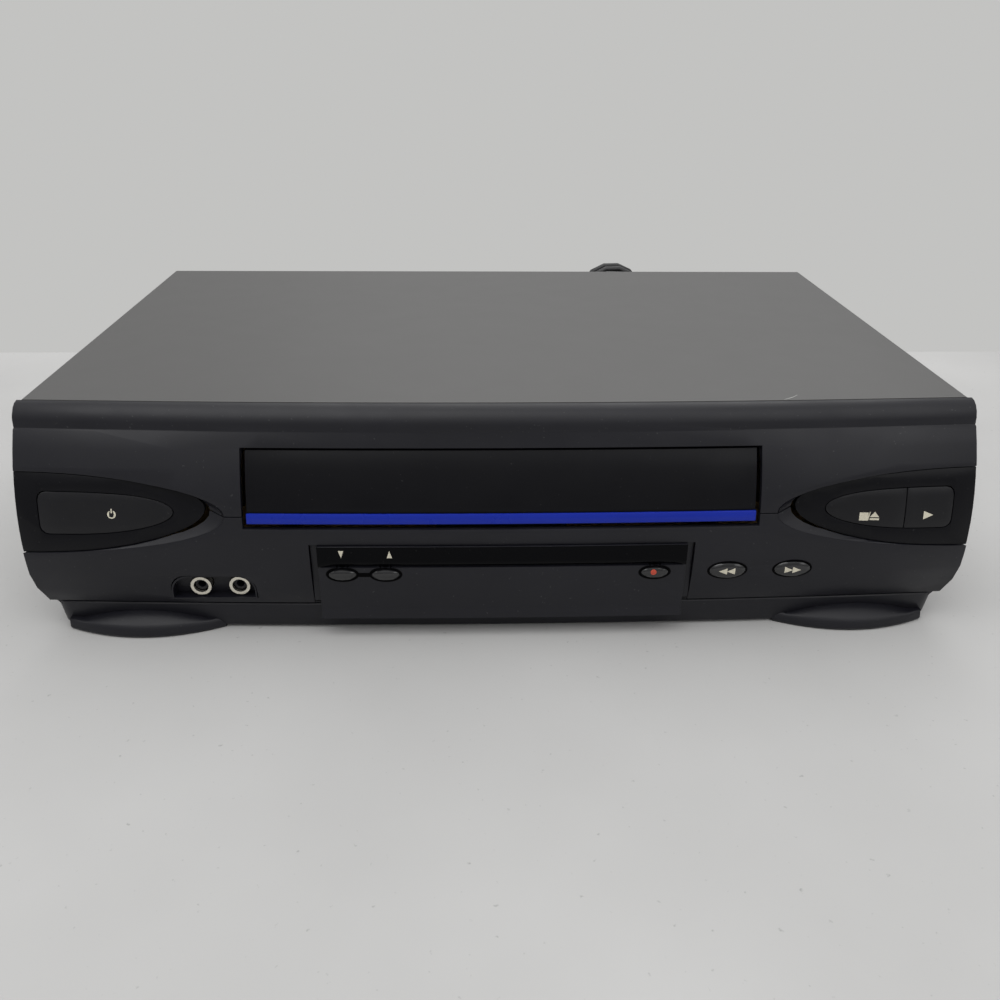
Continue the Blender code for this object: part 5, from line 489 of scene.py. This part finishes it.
def lay_print_and_shade(name, node, pixel, shapes, material, body, thick=0.00007):
    """Lay a thin sheet on a node at a pixel or place: ink for the signs, painted shade for the button wells;
    shapes are (x, z) outlines in metres about it.
    """
    tree = surface_of(node)
    middle = pixel if isinstance(pixel, Vector) else tree.ray_cast(CAMERA_PLACE, pixel_ray(*pixel))[0]
    bm = bmesh.new()
    for shape in shapes:
        flat = bmesh.new()
        flat.faces.new([flat.verts.new((middle.x + x, 0.0, middle.z + z)) for x, z in shape])
        bmesh.ops.triangulate(flat, faces=flat.faces)
        bmesh.ops.subdivide_edges(flat, edges=flat.edges, cuts=2, use_grid_fill=True)
        bmesh.ops.triangulate(flat, faces=flat.faces)
        flat.verts.index_update()
        hits = []
        for vertex in flat.verts:
            hit = tree.ray_cast(Vector((vertex.co.x, PROBE_Y, vertex.co.z)), INWARD)[0]
            hits.append(hit if hit else Vector((vertex.co.x, middle.y, vertex.co.z)))
        near = [bm.verts.new(hit - Vector((0, thick, 0))) for hit in hits]
        far = [bm.verts.new(hit + Vector((0, thick / 4, 0))) for hit in hits]
        for face in flat.faces:
            order = [vertex.index for vertex in face.verts]
            bm.faces.new([near[index] for index in order])
            bm.faces.new([far[index] for index in reversed(order)])
        for edge in flat.edges:
            if len(edge.link_faces) == 1:
                one, two = (vertex.index for vertex in edge.verts)
                bm.faces.new((near[one], near[two], far[two], far[one]))
        flat.free()
    return mesh_piece(name, bm, material, body, smooth=False)


def circle(radius, steps=20):
    angles = [2 * math.pi * step / steps for step in range(steps)]
    return [(radius * math.cos(a), radius * math.sin(a)) for a in angles]


def bar(x_low, x_high, z_low, z_high):
    return [(x_low, z_low), (x_high, z_low), (x_high, z_high), (x_low, z_high)]


def pointer(x, half, height, way):
    """Triangle that points left or right."""
    return [(x - way * half, -height), (x + way * half, 0.0), (x - way * half, height)]


def arc_band(radius, width, start, end, steps=16):
    """Band of a ring between two angles in degrees."""
    angles = [math.radians(start + (end - start) * step / steps) for step in range(steps + 1)]
    far, near = radius + width / 2, radius - width / 2
    outer = [(far * math.cos(a), far * math.sin(a)) for a in angles]
    inner = [(near * math.cos(a), near * math.sin(a)) for a in reversed(angles)]
    return outer + inner


def oval_bands(inner, outer, steps=28):
    """Two half rings between two ellipses, each given by its half width and half height."""
    bands = []
    for start in (0.0, math.pi):
        angles = [start + math.pi * step / steps for step in range(steps + 1)]
        bands.append([(outer[0] * math.cos(a), outer[1] * math.sin(a)) for a in angles]
                     + [(inner[0] * math.cos(a), inner[1] * math.sin(a)) for a in reversed(angles)])
    return bands


def paint_shade_in_button_wells(materials):
    """Painted shade: dark bands round the domed buttons for the shade in their wells, and a dark bar for the
    shade in the slot that joins the two channel buttons.
    """
    well = materials["painted_well_shade"]
    places = {}
    for name in DOMED:
        low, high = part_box(name)
        carrier = "front_panel_lower" if name in ("rewind_button", "forward_button") else "display_bezel"
        hub = Vector(((low.x + high.x) / 2, low.y, (low.z + high.z) / 2))
        places[name] = hub
        half_wide, half_tall = (high.x - low.x) / 2, (high.z - low.z) / 2
        probe = Vector((hub.x, PROBE_Y, hub.z + half_tall + 0.0006))
        hub.y = surface_of(carrier).ray_cast(probe, INWARD)[0].y
        wide = BEZEL_WELL_WIDTH if carrier == "display_bezel" else WELL_WIDTH
        inner = (half_wide + WELL_CLEARANCE, half_tall + WELL_CLEARANCE)
        outer = (half_wide + wide, half_tall + wide * WELL_TALL_SHARE)
        # Painted shade: each band stands for the shade in the well round a button
        lay_print_and_shade("well_" + name, carrier, hub, oval_bands(inner, outer), well, "chassis",
                thick=WELL_THICKNESS)
    down, up = places["channel_down_button"], places["channel_up_button"]
    reach = (up.x - down.x) / 2 - CHANNEL_SLOT_INSET
    slot = bar(-reach, reach, CHANNEL_SLOT_LOW, CHANNEL_SLOT_HIGH)
    # Painted shade: this bar stands for the shade in the channel slot
    lay_print_and_shade("channel_slot", "display_bezel", (down + up) / 2, [slot], well, "chassis", thick=WELL_THICKNESS)


def print_signs(materials):
    """Plain signs for power, transport, channel and recording where the photograph shows them."""
    ink, mm = materials["ink"], 0.001
    stroke = 0.42 * mm
    lay_print_and_shade("power_sign", "power_button", POWER_PIXEL,
            [arc_band(1.35 * mm, stroke, 118, 422), bar(-stroke / 2, stroke / 2, 0.5 * mm, 2.1 * mm)],
            ink, "power_button_body")
    lay_print_and_shade("stop_sign", "stop_eject_button", STOP_PIXEL, [bar(-1.7 * mm, 1.7 * mm, -1.55 * mm, 1.55 * mm)],
            ink, "stop_eject_button_body")
    lay_print_and_shade("eject_sign", "stop_eject_button", EJECT_PIXEL,
            [[(-1.8 * mm, -0.35 * mm), (1.8 * mm, -0.35 * mm), (0, 1.7 * mm)],
             bar(-1.8 * mm, 1.8 * mm, -1.5 * mm, -0.8 * mm)], ink, "stop_eject_button_body")
    lay_print_and_shade("sign_stroke", "stop_eject_button", STROKE_PIXEL,
            [[(-0.55 * mm, -1.6 * mm), (-0.2 * mm, -1.6 * mm), (0.55 * mm, 1.7 * mm), (0.2 * mm, 1.7 * mm)]],
            ink, "stop_eject_button_body")
    lay_print_and_shade("play_sign", "play_button", PLAY_PIXEL, [pointer(0, 1.9 * mm, 1.6 * mm, 1)],
            ink, "play_button_body")
    lay_print_and_shade("rewind_sign", "rewind_button", REWIND_PIXEL,
            [pointer(-1.5 * mm, 1.6 * mm, 1.35 * mm, -1), pointer(1.6 * mm, 1.6 * mm, 1.35 * mm, -1)],
            ink, "rewind_button_body")
    lay_print_and_shade("forward_sign", "forward_button", FORWARD_PIXEL,
            [pointer(-1.6 * mm, 1.6 * mm, 1.35 * mm, 1), pointer(1.5 * mm, 1.6 * mm, 1.35 * mm, 1)],
            ink, "forward_button_body")
    lay_print_and_shade("channel_down_sign", "display_window", CHANNEL_DOWN_PIXEL,
            [[(-1.0 * mm, 1.5 * mm), (1.0 * mm, 1.5 * mm), (0, -1.5 * mm)]],
            ink, "chassis", thick=STRIP_SIGN_THICKNESS)
    lay_print_and_shade("channel_up_sign", "display_window", CHANNEL_UP_PIXEL,
            [[(-1.0 * mm, -1.5 * mm), (1.0 * mm, -1.5 * mm), (0, 1.5 * mm)]],
            ink, "chassis", thick=STRIP_SIGN_THICKNESS)
    lay_print_and_shade("record_sign", "record_button", RECORD_PIXEL, [circle(1.15 * mm)], materials["red_ink"],
            "record_button_body")


def bow(x):
    """How far the front bows forward at a place across it."""
    return PANEL_BOW * (1 - (x / PANEL_HALF_WIDTH) ** 2)


def sheet_solid(rows):
    """Closed body from rows of sections, each section a closed outline of points."""
    bm = bmesh.new()
    rings = [[bm.verts.new(point) for point in row] for row in rows]
    count = len(rings[0])
    for first, second in zip(rings, rings[1:]):
        for step in range(count):
            after = (step + 1) % count
            bm.faces.new((first[step], first[after], second[after], second[step]))
    bm.faces.new(list(reversed(rings[0])))
    bm.faces.new(rings[-1])
    return bm


def plinth_skirt(materials):
    """Front skirt of the plinth: bowed like the panel, returned on both sides, almost on the table."""
    top_z, low_z, thick = SKIRT_TOP_Z, SKIRT_LOW_Z, SKIRT_THICKNESS

    def section(x, y, out_x, out_y):
        outline = [(0.0, top_z), (0.00035, top_z - 0.0004), (-0.0010, low_z + 0.0006), (-SKIRT_LEAN, low_z),
                   (-SKIRT_LEAN - thick, low_z), (-thick, top_z)]
        return [(x + out_x * lean, y + out_y * lean, z) for lean, z in outline]

    half, corner = SKIRT_HALF_WIDTH, SKIRT_CORNER
    rows = []
    for y in SKIRT_RETURN:
        rows.append(section(-half, y, -1.0, 0.0))
    front_y = SEAM_Y - SKIRT_REACH
    for step in range(1, 6):
        angle = step / 6 * math.pi / 2
        x = -half + corner - corner * math.cos(angle)
        rows.append(section(x, front_y - bow(half - corner) + corner - corner * math.sin(angle),
                            -math.cos(angle), -math.sin(angle)))
    for step in range(25):
        x = (half - corner) * (2 * step / 24 - 1)
        rows.append(section(x, front_y - bow(x), 0.0, -1.0))
    rows += [[(-x, y, z) for x, y, z in row] for row in reversed(rows[:8])]
    mesh_piece("plinth_skirt", sheet_solid(rows), materials["case_black"], "chassis")


def toe_foot(side, node, materials):
    """Front foot: a steep rounded wall under a shallow lens-shaped top that runs up to the plinth."""
    half, middle, steps = TOE_HALF_WIDTH, TOE_X, 32
    rows = []
    for step in range(steps + 1):
        share = 2 * step / steps - 1
        share = math.copysign(abs(share) ** TOE_END_POWER, share)
        x = side * middle + share * half
        root = SEAM_Y - TOE_REACH - bow(middle)
        swell = TOE_SWELL * (1 - share ** 2)
        lens = max(0.0, 1 - (share / TOE_LENS_SHARE) ** 2)
        wall_z, crown_z = TOE_WALL_Z + TOE_WALL_RISE * lens, TOE_CROWN_Z + TOE_CROWN_RISE * lens
        back = root + TOE_BACK
        edge_y = root - swell + TOE_EDGE_DEPTH + TOE_EDGE_MORE * lens
        rows.append([(x, back, 0.0), (x, root - swell + 0.0008, 0.0), (x, root - swell, 0.0012),
                     (x, root - swell + 0.0003, wall_z - 0.0016), (x, edge_y - 0.0004, wall_z - 0.0004),
                     (x, edge_y, wall_z),
                     (x, edge_y + (root - edge_y) * 0.5, wall_z + (crown_z - wall_z) * 0.62),
                     (x, min(root + 0.0004, back), crown_z), (x, back, crown_z)])
    piece = mesh_piece(node + "_toe", sheet_solid(rows), materials["case_black"], "chassis")
    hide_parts(node)


def raised_bezel(group):
    """Display bezel that ends above the plinth, its lip leaning out towards the bottom."""
    mesh = NODES["display_bezel"].data.copy()
    mesh.name = "bezel_shell"
    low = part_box("display_bezel")[0].z
    tree = surface_of("display_bezel")
    for vertex in mesh.vertices:
        if vertex.co.z < low + LIP_BAND:
            face = tree.ray_cast(Vector((vertex.co.x * 0.999, PROBE_Y, BEZEL_FACE_Z)), INWARD)[0]
            front = vertex.co.y < face.y + BEZEL_FRONT_DEPTH
            if front and vertex.co.z > low + LIP_EDGE:
                vertex.co.y = max(vertex.co.y, face.y)
            if vertex.co.z < low + LIP_EDGE:
                vertex.co.z = BEZEL_LOW_Z
                vertex.co.y = vertex.co.y - LIP_LEAN if front else vertex.co.y
            else:
                vertex.co.z += LIP_TOP_Z - (low + LIP_HEIGHT)
    piece = bpy.data.objects.new("bezel_shell", mesh)
    bpy.context.scene.collection.objects.link(piece)
    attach(piece, "chassis")
    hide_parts("display_bezel")
    softened(piece, group, 0.00028)


def smoked_strip(materials):
    """Smoked strip over the whole top of the bezel, from edge to edge."""
    tree = surface_of("display_bezel", "display_window")
    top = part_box("display_bezel")[1].z
    seat_low, half = STRIP_LOW_Z, STRIP_HALF_WIDTH
    columns, levels = 28, 5
    near, far = [], []
    bm = bmesh.new()
    for column in range(columns + 1):
        x = half * (2 * column / columns - 1)
        near.append([])
        far.append([])
        for level in range(levels + 1):
            z = seat_low + (top - STRIP_TOP_GAP - seat_low) * level / levels
            inside = half - STRIP_PROBE_INSET
            probe = Vector((max(-inside, min(inside, x)), PROBE_Y, min(z, top - STRIP_PROBE_INSET)))
            face = tree.ray_cast(probe, INWARD)[0]
            near[-1].append(bm.verts.new((x, face.y - STRIP_PROUD, z)))
            far[-1].append(bm.verts.new((x, face.y - STRIP_REAR_PROUD, z)))
    for column in range(columns):
        for level in range(levels):
            for grid, flip in ((near, False), (far, True)):
                corners = [grid[column][level], grid[column + 1][level],
                           grid[column + 1][level + 1], grid[column][level + 1]]
                bm.faces.new(list(reversed(corners)) if flip else corners)
    rim = [(column, 0) for column in range(columns)]
    rim += [(columns, level) for level in range(levels)]
    rim += [(column, levels) for column in range(columns, 0, -1)]
    rim += [(0, level) for level in range(levels, 0, -1)]
    for index, (column, level) in enumerate(rim):
        after_column, after_level = rim[(index + 1) % len(rim)]
        bm.faces.new((near[column][level], near[after_column][after_level],
                      far[after_column][after_level], far[column][level]))
    piece = mesh_piece("smoked_strip", bm, materials["smoked_window"], "chassis")
    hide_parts("display_window")


def smooth_path(points, steps):
    """Smooth curve through points whose first and last stretch stay straight."""
    path = [Vector(points[0])]
    last = len(points) - 1
    for index in range(1, last - 1):
        before, start, end, after = (Vector(points[index + shift]) for shift in (-1, 0, 1, 2))
        for step in range(steps):
            t = step / steps
            square = 2 * before - 5 * start + 4 * end - after
            cube = 3 * start - before - 3 * end + after
            path.append((2 * start + (end - before) * t + square * t ** 2 + cube * t ** 3) / 2)
    return path + [Vector(points[last - 1]), Vector(points[last])]


def hank_path():
    """Loops that spiral out and in again, layer behind layer, their runs drawn in at the waist."""
    half_run = HANK_RUN / 2
    widest = HANK_FOLD_RADIUS + (HANK_TURNS - 1 / 4) * HANK_PITCH
    centre_z = FLOOR_CLEARANCE + CORD_RADIUS + widest + half_run
    base_y = REAR_Y + HANK_GAP + CORD_RADIUS
    arc_points = HANK_LOOP_POINTS // 3
    run_points = HANK_LOOP_POINTS // 2 - arc_points
    places = [half_run * 2 * index / run_points for index in range(run_points // 2)]
    shape = [(0, height) for height in places]
    shape += [(math.pi * index / (arc_points - 1), half_run) for index in range(arc_points)]
    shape += [(math.pi, half_run - HANK_RUN * index / run_points) for index in range(1, run_points)]
    shape += [(math.pi * (1 + index / (arc_points - 1)), -half_run) for index in range(arc_points)]
    shape += [(0, height - half_run) for height in places[1:]]
    points = []
    loops = HANK_LAYERS * HANK_TURNS
    total = loops * len(shape) - len(places) + 1
    for step in range(total + 1):
        along = step / len(shape)
        layer = min(int(along / HANK_TURNS), HANK_LAYERS - 1)
        inside = along - layer * HANK_TURNS
        wide = HANK_TURNS - inside if layer % 2 else inside
        climb = 0.0
        if inside > HANK_TURNS - CLIMB_SHARE and layer < HANK_LAYERS - 1:
            climb = (inside - HANK_TURNS + CLIMB_SHARE) / (2 * CLIMB_SHARE)
        if inside < CLIMB_SHARE and layer:
            climb = (inside - CLIMB_SHARE) / (2 * CLIMB_SHARE)
        angle, height = shape[step % len(shape)]
        draw = HANK_DRAW * math.cos(math.pi / 2 * min(abs(height) / half_run, 1)) ** 2
        if math.sin(angle):
            draw = 0.0
        radius = HANK_FOLD_RADIUS + wide * HANK_PITCH
        x = (radius - draw) * math.cos(angle)
        z = height + radius * math.sin(angle)
        points.append(Vector((HANK_X + x, base_y + (layer + climb) * HANK_PITCH, centre_z + z)))
    return points


def free_lead(hank):
    """Free stretch from the strain relief to the start of the hank."""
    start = Vector(CORD_EXIT)
    step = 2 * CORD_RADIUS
    along = (hank[1] - hank[0]).normalized()
    arrival = hank[0] - along * GAP
    turns = [start, start + Vector((0, step, 0))]
    turns += [start + Vector(share) * step for share in LEAD_TURN_SHARES]
    turns += [arrival + Vector(share) * step for share in LEAD_ARRIVAL_SHARES]
    return smooth_path(turns + [arrival - along * step, arrival], LEAD_STEPS)


def tail_path(hank):
    """Short end from the last loop down to the plug's neck."""
    step = 2 * CORD_RADIUS
    along = (hank[-1] - hank[-2]).normalized()
    start = hank[-1] + along * GAP
    end_y = PLUG_Y - PLUG_LENGTH / 2 - PLUG_NECK_LENGTH - GAP
    end = Vector((HANK_X + HANK_FOLD_RADIUS, end_y, PLUG_HALF_HEIGHT))
    turns = [start, start + along * step]
    turns += [start + Vector(share) * step for share in TAIL_TURN_SHARES]
    turns += [end + Vector(share) * step for share in TAIL_ARRIVAL_SHARES]
    return smooth_path(turns + [end - Vector((0, step, 0)), end], LEAD_STEPS)


def lead_route():
    """Whole centreline of the mains lead to 0.01 mm, without points that nearly coincide."""
    hank = hank_path()
    route = free_lead(hank)
    for point in hank + tail_path(hank):
        if (point - route[-1]).length >= NEAREST_POINTS:
            route.append(point)
    return [tuple(round(value, ROUTE_DIGITS) for value in point) for point in route]


def lead_curve(material, route):
    """One unbroken lead: free stretch, tied hank and the short end down to the plug."""
    data = bpy.data.curves.new("mains_lead", "CURVE")
    data.dimensions = "3D"
    data.bevel_depth = CORD_RADIUS
    data.bevel_resolution = 5
    data.use_fill_caps = True
    spline = data.splines.new("POLY")
    spline.points.add(len(route) - 1)
    for point, place in zip(spline.points, route):
        point.co = (*place, 1.0)
    spline.use_smooth = True
    data.materials.append(material)
    lead = bpy.data.objects.new("mains_lead", data)
    bpy.context.scene.collection.objects.link(lead)
    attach(lead, "chassis")
    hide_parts("mains_cord", "cord_hank", "mains_tail")
    return lead


def strain_sleeve(material):
    """Tapered sleeve with its ring grooves, outside the rear panel."""
    low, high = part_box("strain_relief")
    place = ((low.x + high.x) / 2, low.y, (low.z + high.z) / 2)
    length = high.y - low.y
    profile = [(0, 0), (0.0054, 0), (0.0056, 0.0003), (0.0056, 0.0019), (0.0036, 0.0021), (0.0036, 0.0047),
               (0.0056, 0.0048), (0.0056, 0.0055), (0.0053, 0.0058)]
    root, tip, count = 0.0038, 0.0026, 7
    first = 0.0070
    ribbed = length - 0.0016 - first
    pitch = ribbed / count
    for index in range(count):
        share = index / (count - 1)
        radius = root + (tip - root) * share
        at = first + ribbed * index / count
        profile += [(radius, at), (radius, at + pitch * 0.55), (radius - 0.0006, at + pitch * 0.65),
                    (radius - 0.0006, at + pitch * 0.9)]
    profile += [(0.0024, length - 0.0010), (0.0022, length), (0, length)]
    piece = mesh_piece("strain_sleeve", turned(profile, place, (0, 1, 0)), material, "chassis")
    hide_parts("strain_relief")
    return piece


def hank_tie(material):
    """Soft band round the waist of the hank, with a rounded section."""
    low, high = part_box("cord_tie")
    middle = (low + high) / 2
    thick, wide, corner = 0.0010, 0.0029, 0.0045
    half = ((high.x - low.x) / 2 - thick / 2, (high.y - low.y) / 2 - thick / 2)
    path = []
    for quarter, (sx, sy) in enumerate(((1, 1), (-1, 1), (-1, -1), (1, -1))):
        for step in range(9):
            angle = (quarter + step / 8) * math.pi / 2
            path.append((sx * (half[0] - corner) + corner * math.cos(angle),
                         sy * (half[1] - corner) + corner * math.sin(angle)))
    angles = [2 * math.pi * step / 12 for step in range(12)]
    section = [(thick / 2 * math.cos(a), wide * math.sin(a)) for a in angles]
    bm = bmesh.new()
    rings = []
    count = len(path)
    for index, (x, y) in enumerate(path):
        before, after = Vector(path[index - 1]), Vector(path[(index + 1) % count])
        along = (after - before).normalized()
        out = Vector((along.y, -along.x))
        rings.append([bm.verts.new((middle.x + x + out.x * across, middle.y + y + out.y * across,
                                    middle.z + height)) for across, height in section])
    for index in range(count):
        first, second = rings[index], rings[(index + 1) % count]
        for step in range(len(section)):
            after = (step + 1) % len(section)
            bm.faces.new((first[step], first[after], second[after], second[step]))
    piece = mesh_piece("hank_tie", bm, material, "chassis")
    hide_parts("cord_tie")
    return piece


def plug_pieces(materials):
    """Moulded plug body with grip ribs, and its two blades."""
    low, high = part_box("mains_plug")
    x, z, rear = (low.x + high.x) / 2, (low.z + high.z) / 2, low.y
    stations = [(0.0, 0.0025, 0.0025), (0.0012, 0.0026, 0.0026)]
    for index in range(5):
        start = 0.0016 + index * 0.0017
        radius = 0.0030 + index * 0.00028
        neck = radius - PLUG_GROOVE
        stations += [(start, radius, radius), (start + 0.0009, radius, radius),
                     (start + 0.0011, neck, neck), (start + 0.0015, neck, neck)]
    stations += [(0.0105, 0.0046, 0.0046), (0.0130, 0.0066, 0.0080), (0.0160, 0.0083, 0.0099),
                 (0.0190, 0.0078, 0.0090), (0.0215, 0.0073, 0.0080), (0.0240, 0.0080, 0.0083),
                 (0.0270, 0.0102, 0.0096), (0.0285, 0.0110, 0.0099), (0.0325, 0.0110, 0.0099),
                 (0.0330, 0.0106, 0.0095)]
    bm = bmesh.new()
    rings = []
    steps = 32
    for along, wide, tall in stations:
        power = 0.8 if along > 0.012 else 1.0
        ring = []
        for step in range(steps):
            angle = 2 * math.pi * step / steps
            c, s = math.cos(angle), math.sin(angle)
            ring.append(bm.verts.new((x + wide * math.copysign(abs(c) ** power, c), rear + along,
                                      z + tall * math.copysign(abs(s) ** power, s))))
        rings.append(ring)
    for first, second in zip(rings, rings[1:]):
        for step in range(steps):
            after = (step + 1) % steps
            bm.faces.new((first[step], first[after], second[after], second[step]))
    bm.faces.new(list(reversed(rings[0])))
    bm.faces.new(rings[-1])
    body = mesh_piece("plug_body", bm, materials["cord_vinyl"], "chassis")
    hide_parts("mains_plug")
    blades = []
    for side, name in ((-1, "plug_blade_left"), (1, "plug_blade_right")):
        bm = bmesh.new()
        half_wide, start, end = BLADE_HALF_WIDTH, rear + BLADE_START, high.y
        outline = [(start, -half_wide), (end - 0.0012, -half_wide), (end, -half_wide + 0.0014),
                   (end, half_wide - 0.0014), (end - 0.0012, half_wide), (start, half_wide)]
        hole = [(end - 0.0042 + 0.0013 * math.cos(a), 0.0013 * math.sin(a)) for a in
                [2 * math.pi * step / 12 for step in range(12)]]
        layers = []
        for depth in (-BLADE_HALF_THICKNESS, BLADE_HALF_THICKNESS):
            blade_x = x + side * BLADE_SPACING + depth
            layer = [[bm.verts.new((blade_x, along, z + height)) for along, height in ring]
                     for ring in (outline, hole)]
            edges = [bm.edges.new((ring[i], ring[(i + 1) % len(ring)])) for ring in layer
                     for i in range(len(ring))]
            bmesh.ops.triangle_fill(bm, use_beauty=True, edges=edges)
            layers.append(layer)
        for near, far in zip(layers[0], layers[1]):
            for index in range(len(near)):
                after = (index + 1) % len(near)
                bm.faces.new((near[index], near[after], far[after], far[index]))
        blades.append(mesh_piece(name, bm, materials["plug_brass"], "chassis", smooth=False))
    return [body, *blades]


def socket_collars(materials):
    """Insulating rings at the feet of the rear sockets."""
    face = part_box("rear_socket_block")[1].y
    profile = [(0.0043, 0), (0.0058, 0), (0.0058, 0.0012), (0.0054, 0.0016), (0.0043, 0.0016)]
    for row, material in SOCKET_ROWS:
        for column, x in enumerate(SOCKET_COLUMNS):
            ring = turned(profile, (x, face + 0.0001, row), (0, 1, 0), 28)
            mesh_piece("collar_%s_%d" % (material, column), ring, materials[material], "chassis")


def cover_scratch(materials):
    """Small bare scratch on the cover's front right corner."""
    points = []
    for pixel in SCRATCH_PIXELS:
        ray = pixel_ray(*pixel)
        points.append(CAMERA_PLACE + ray * ((CASE_HEIGHT - CAMERA_PLACE.z) / ray.z))
    bm = bmesh.new()
    rows = []
    for index, point in enumerate(points):
        before, after = points[max(index - 1, 0)], points[min(index + 1, len(points) - 1)]
        half = SCRATCH_HALF_WIDTH if 0 < index < len(points) - 1 else SCRATCH_TIP_HALF_WIDTH
        across = Vector((0, 0, 1)).cross(after - before).normalized() * half
        rows.append([bm.verts.new(point + shift + Vector((0, 0, lift))) for shift, lift in
                     ((across, -0.00002), (across, 0.00004), (-across, 0.00004), (-across, -0.00002))])
    for first, second in zip(rows, rows[1:]):
        for step in range(4):
            bm.faces.new((first[step], first[(step + 1) % 4], second[(step + 1) % 4], second[step]))
    bm.faces.new(rows[0])
    bm.faces.new(list(reversed(rows[-1])))
    mesh_piece("cover_scratch", bm, materials["bare_metal"], "chassis", smooth=False)


# Stage

def add_stage():
    """Pale table that turns into the pale wall's tone behind the object."""
    made, tree, shader = new_material("table_top")
    place = tree.nodes.new("ShaderNodeTexCoord")
    parts = tree.nodes.new("ShaderNodeSeparateXYZ")
    tree.links.new(place.outputs["Object"], parts.inputs["Vector"])
    step = tree.nodes.new("ShaderNodeMapRange")
    step.inputs["From Min"].default_value = WALL_Y - WALL_BLEND
    step.inputs["From Max"].default_value = WALL_Y + WALL_BLEND
    tree.links.new(parts.outputs["Y"], step.inputs["Value"])
    cloud = ramp(tree, noise(tree, 7.0, 5.0), ((0.3, TABLE_LOW), (0.7, TABLE_HIGH)))
    specks = ramp(tree, noise(tree, 420.0, 2.0), ((0.70, (0.0, 0.0, 0.0)), (0.80, (0.45, 0.45, 0.45))))
    table = blended(tree, specks, cloud, (0.16, 0.16, 0.16))
    tree.links.new(table, shader.inputs["Base Color"])
    shader.inputs["Roughness"].default_value = 0.75
    shader.inputs["Specular IOR Level"].default_value = 0.25
    reach = tree.nodes.new("ShaderNodeVectorMath")
    reach.operation = "LENGTH"
    tree.links.new(place.outputs["Object"], reach.inputs[0])
    fade = tree.nodes.new("ShaderNodeMapRange")
    fade.interpolation_type = "SMOOTHSTEP"
    fade.inputs["From Min"].default_value = FADE_NEAR
    fade.inputs["From Max"].default_value = FADE_FAR
    tree.links.new(reach.outputs["Value"], fade.inputs["Value"])
    either = tree.nodes.new("ShaderNodeMath")
    either.operation = "MAXIMUM"
    tree.links.new(step.outputs["Result"], either.inputs[0])
    tree.links.new(fade.outputs["Result"], either.inputs[1])
    rays = tree.nodes.new("ShaderNodeLightPath")
    share = tree.nodes.new("ShaderNodeMath")
    share.operation = "MULTIPLY"
    tree.links.new(either.outputs["Value"], share.inputs[0])
    tree.links.new(rays.outputs["Is Camera Ray"], share.inputs[1])
    backdrop = tree.nodes.new("ShaderNodeEmission")
    backdrop.inputs["Color"].default_value = (*WALL_TONE, 1.0)
    mix = tree.nodes.new("ShaderNodeMixShader")
    tree.links.new(share.outputs["Value"], mix.inputs["Fac"])
    tree.links.new(shader.outputs["BSDF"], mix.inputs[1])
    tree.links.new(backdrop.outputs["Emission"], mix.inputs[2])
    tree.links.new(mix.outputs["Shader"], tree.nodes["Material Output"].inputs["Surface"])
    bm = bmesh.new()
    bmesh.ops.create_grid(bm, x_segments=TABLE_CELLS, y_segments=TABLE_CELLS, size=TABLE_HALF_SIZE)
    mesh = bpy.data.meshes.new("table_top")
    bm.to_mesh(mesh)
    bm.free()
    mesh.materials.append(made)
    floor = bpy.data.objects.new("table_top", mesh)
    bpy.context.scene.collection.objects.link(floor)


def add_light():
    """Even pale surroundings and large soft lamps."""
    world = bpy.data.worlds.new("studio")
    bpy.context.scene.world = world
    world.use_nodes = True
    tree = world.node_tree
    tree.nodes.clear()
    rays = tree.nodes.new("ShaderNodeLightPath")
    plain = tree.nodes.new("ShaderNodeBackground")
    plain.inputs["Color"].default_value = (1.0, 1.0, 1.0, 1.0)
    way = tree.nodes.new("ShaderNodeTexCoord")
    parts = tree.nodes.new("ShaderNodeSeparateXYZ")
    tree.links.new(way.outputs["Generated"], parts.inputs["Vector"])
    level = tree.nodes.new("ShaderNodeMapRange")
    level.inputs["To Min"].default_value = SKY_LOW
    level.inputs["To Max"].default_value = SKY_HIGH
    tree.links.new(parts.outputs["Z"], level.inputs["Value"])
    tree.links.new(level.outputs["Result"], plain.inputs["Strength"])
    seen = tree.nodes.new("ShaderNodeBackground")
    seen.inputs["Color"].default_value = (*WALL_TONE, 1.0)
    seen.inputs["Strength"].default_value = 1.0
    mix = tree.nodes.new("ShaderNodeMixShader")
    out = tree.nodes.new("ShaderNodeOutputWorld")
    tree.links.new(rays.outputs["Is Camera Ray"], mix.inputs["Fac"])
    tree.links.new(plain.outputs["Background"], mix.inputs[1])
    tree.links.new(seen.outputs["Background"], mix.inputs[2])
    tree.links.new(mix.outputs["Shader"], out.inputs["Surface"])
    for name, place, size, power in LIGHTS:
        data = bpy.data.lights.new(name, "AREA")
        data.shape = "SQUARE"
        data.size = size
        data.energy = power
        lamp = bpy.data.objects.new(name, data)
        bpy.context.scene.collection.objects.link(lamp)
        lamp.location = place
        lamp.rotation_mode = "QUATERNION"
        lamp.rotation_quaternion = (-Vector(place)).to_track_quat("-Z", "Y")
    bpy.context.scene.view_settings.view_transform = "Standard"


def main():
    for name in ("Cube", "Light", "Camera"):
        if name in bpy.data.objects:
            bpy.data.objects.remove(bpy.data.objects[name])
    add_camera()
    materials = make_materials()
    group = dress_frame(materials)
    plinth_skirt(materials)
    toe_foot(-1, "front_foot_left", materials)
    toe_foot(1, "front_foot_right", materials)
    raised_bezel(group)
    smoked_strip(materials)
    paint_shade_in_button_wells(materials)
    route = lead_route()
    lead = lead_curve(materials["cord_vinyl"], route)
    sleeve = strain_sleeve(materials["cord_vinyl"])
    tie = hank_tie(materials["cord_vinyl"])
    plug = plug_pieces(materials)
    print_signs(materials)
    socket_collars(materials)
    cover_scratch(materials)
    add_stage()
    add_light()


main()
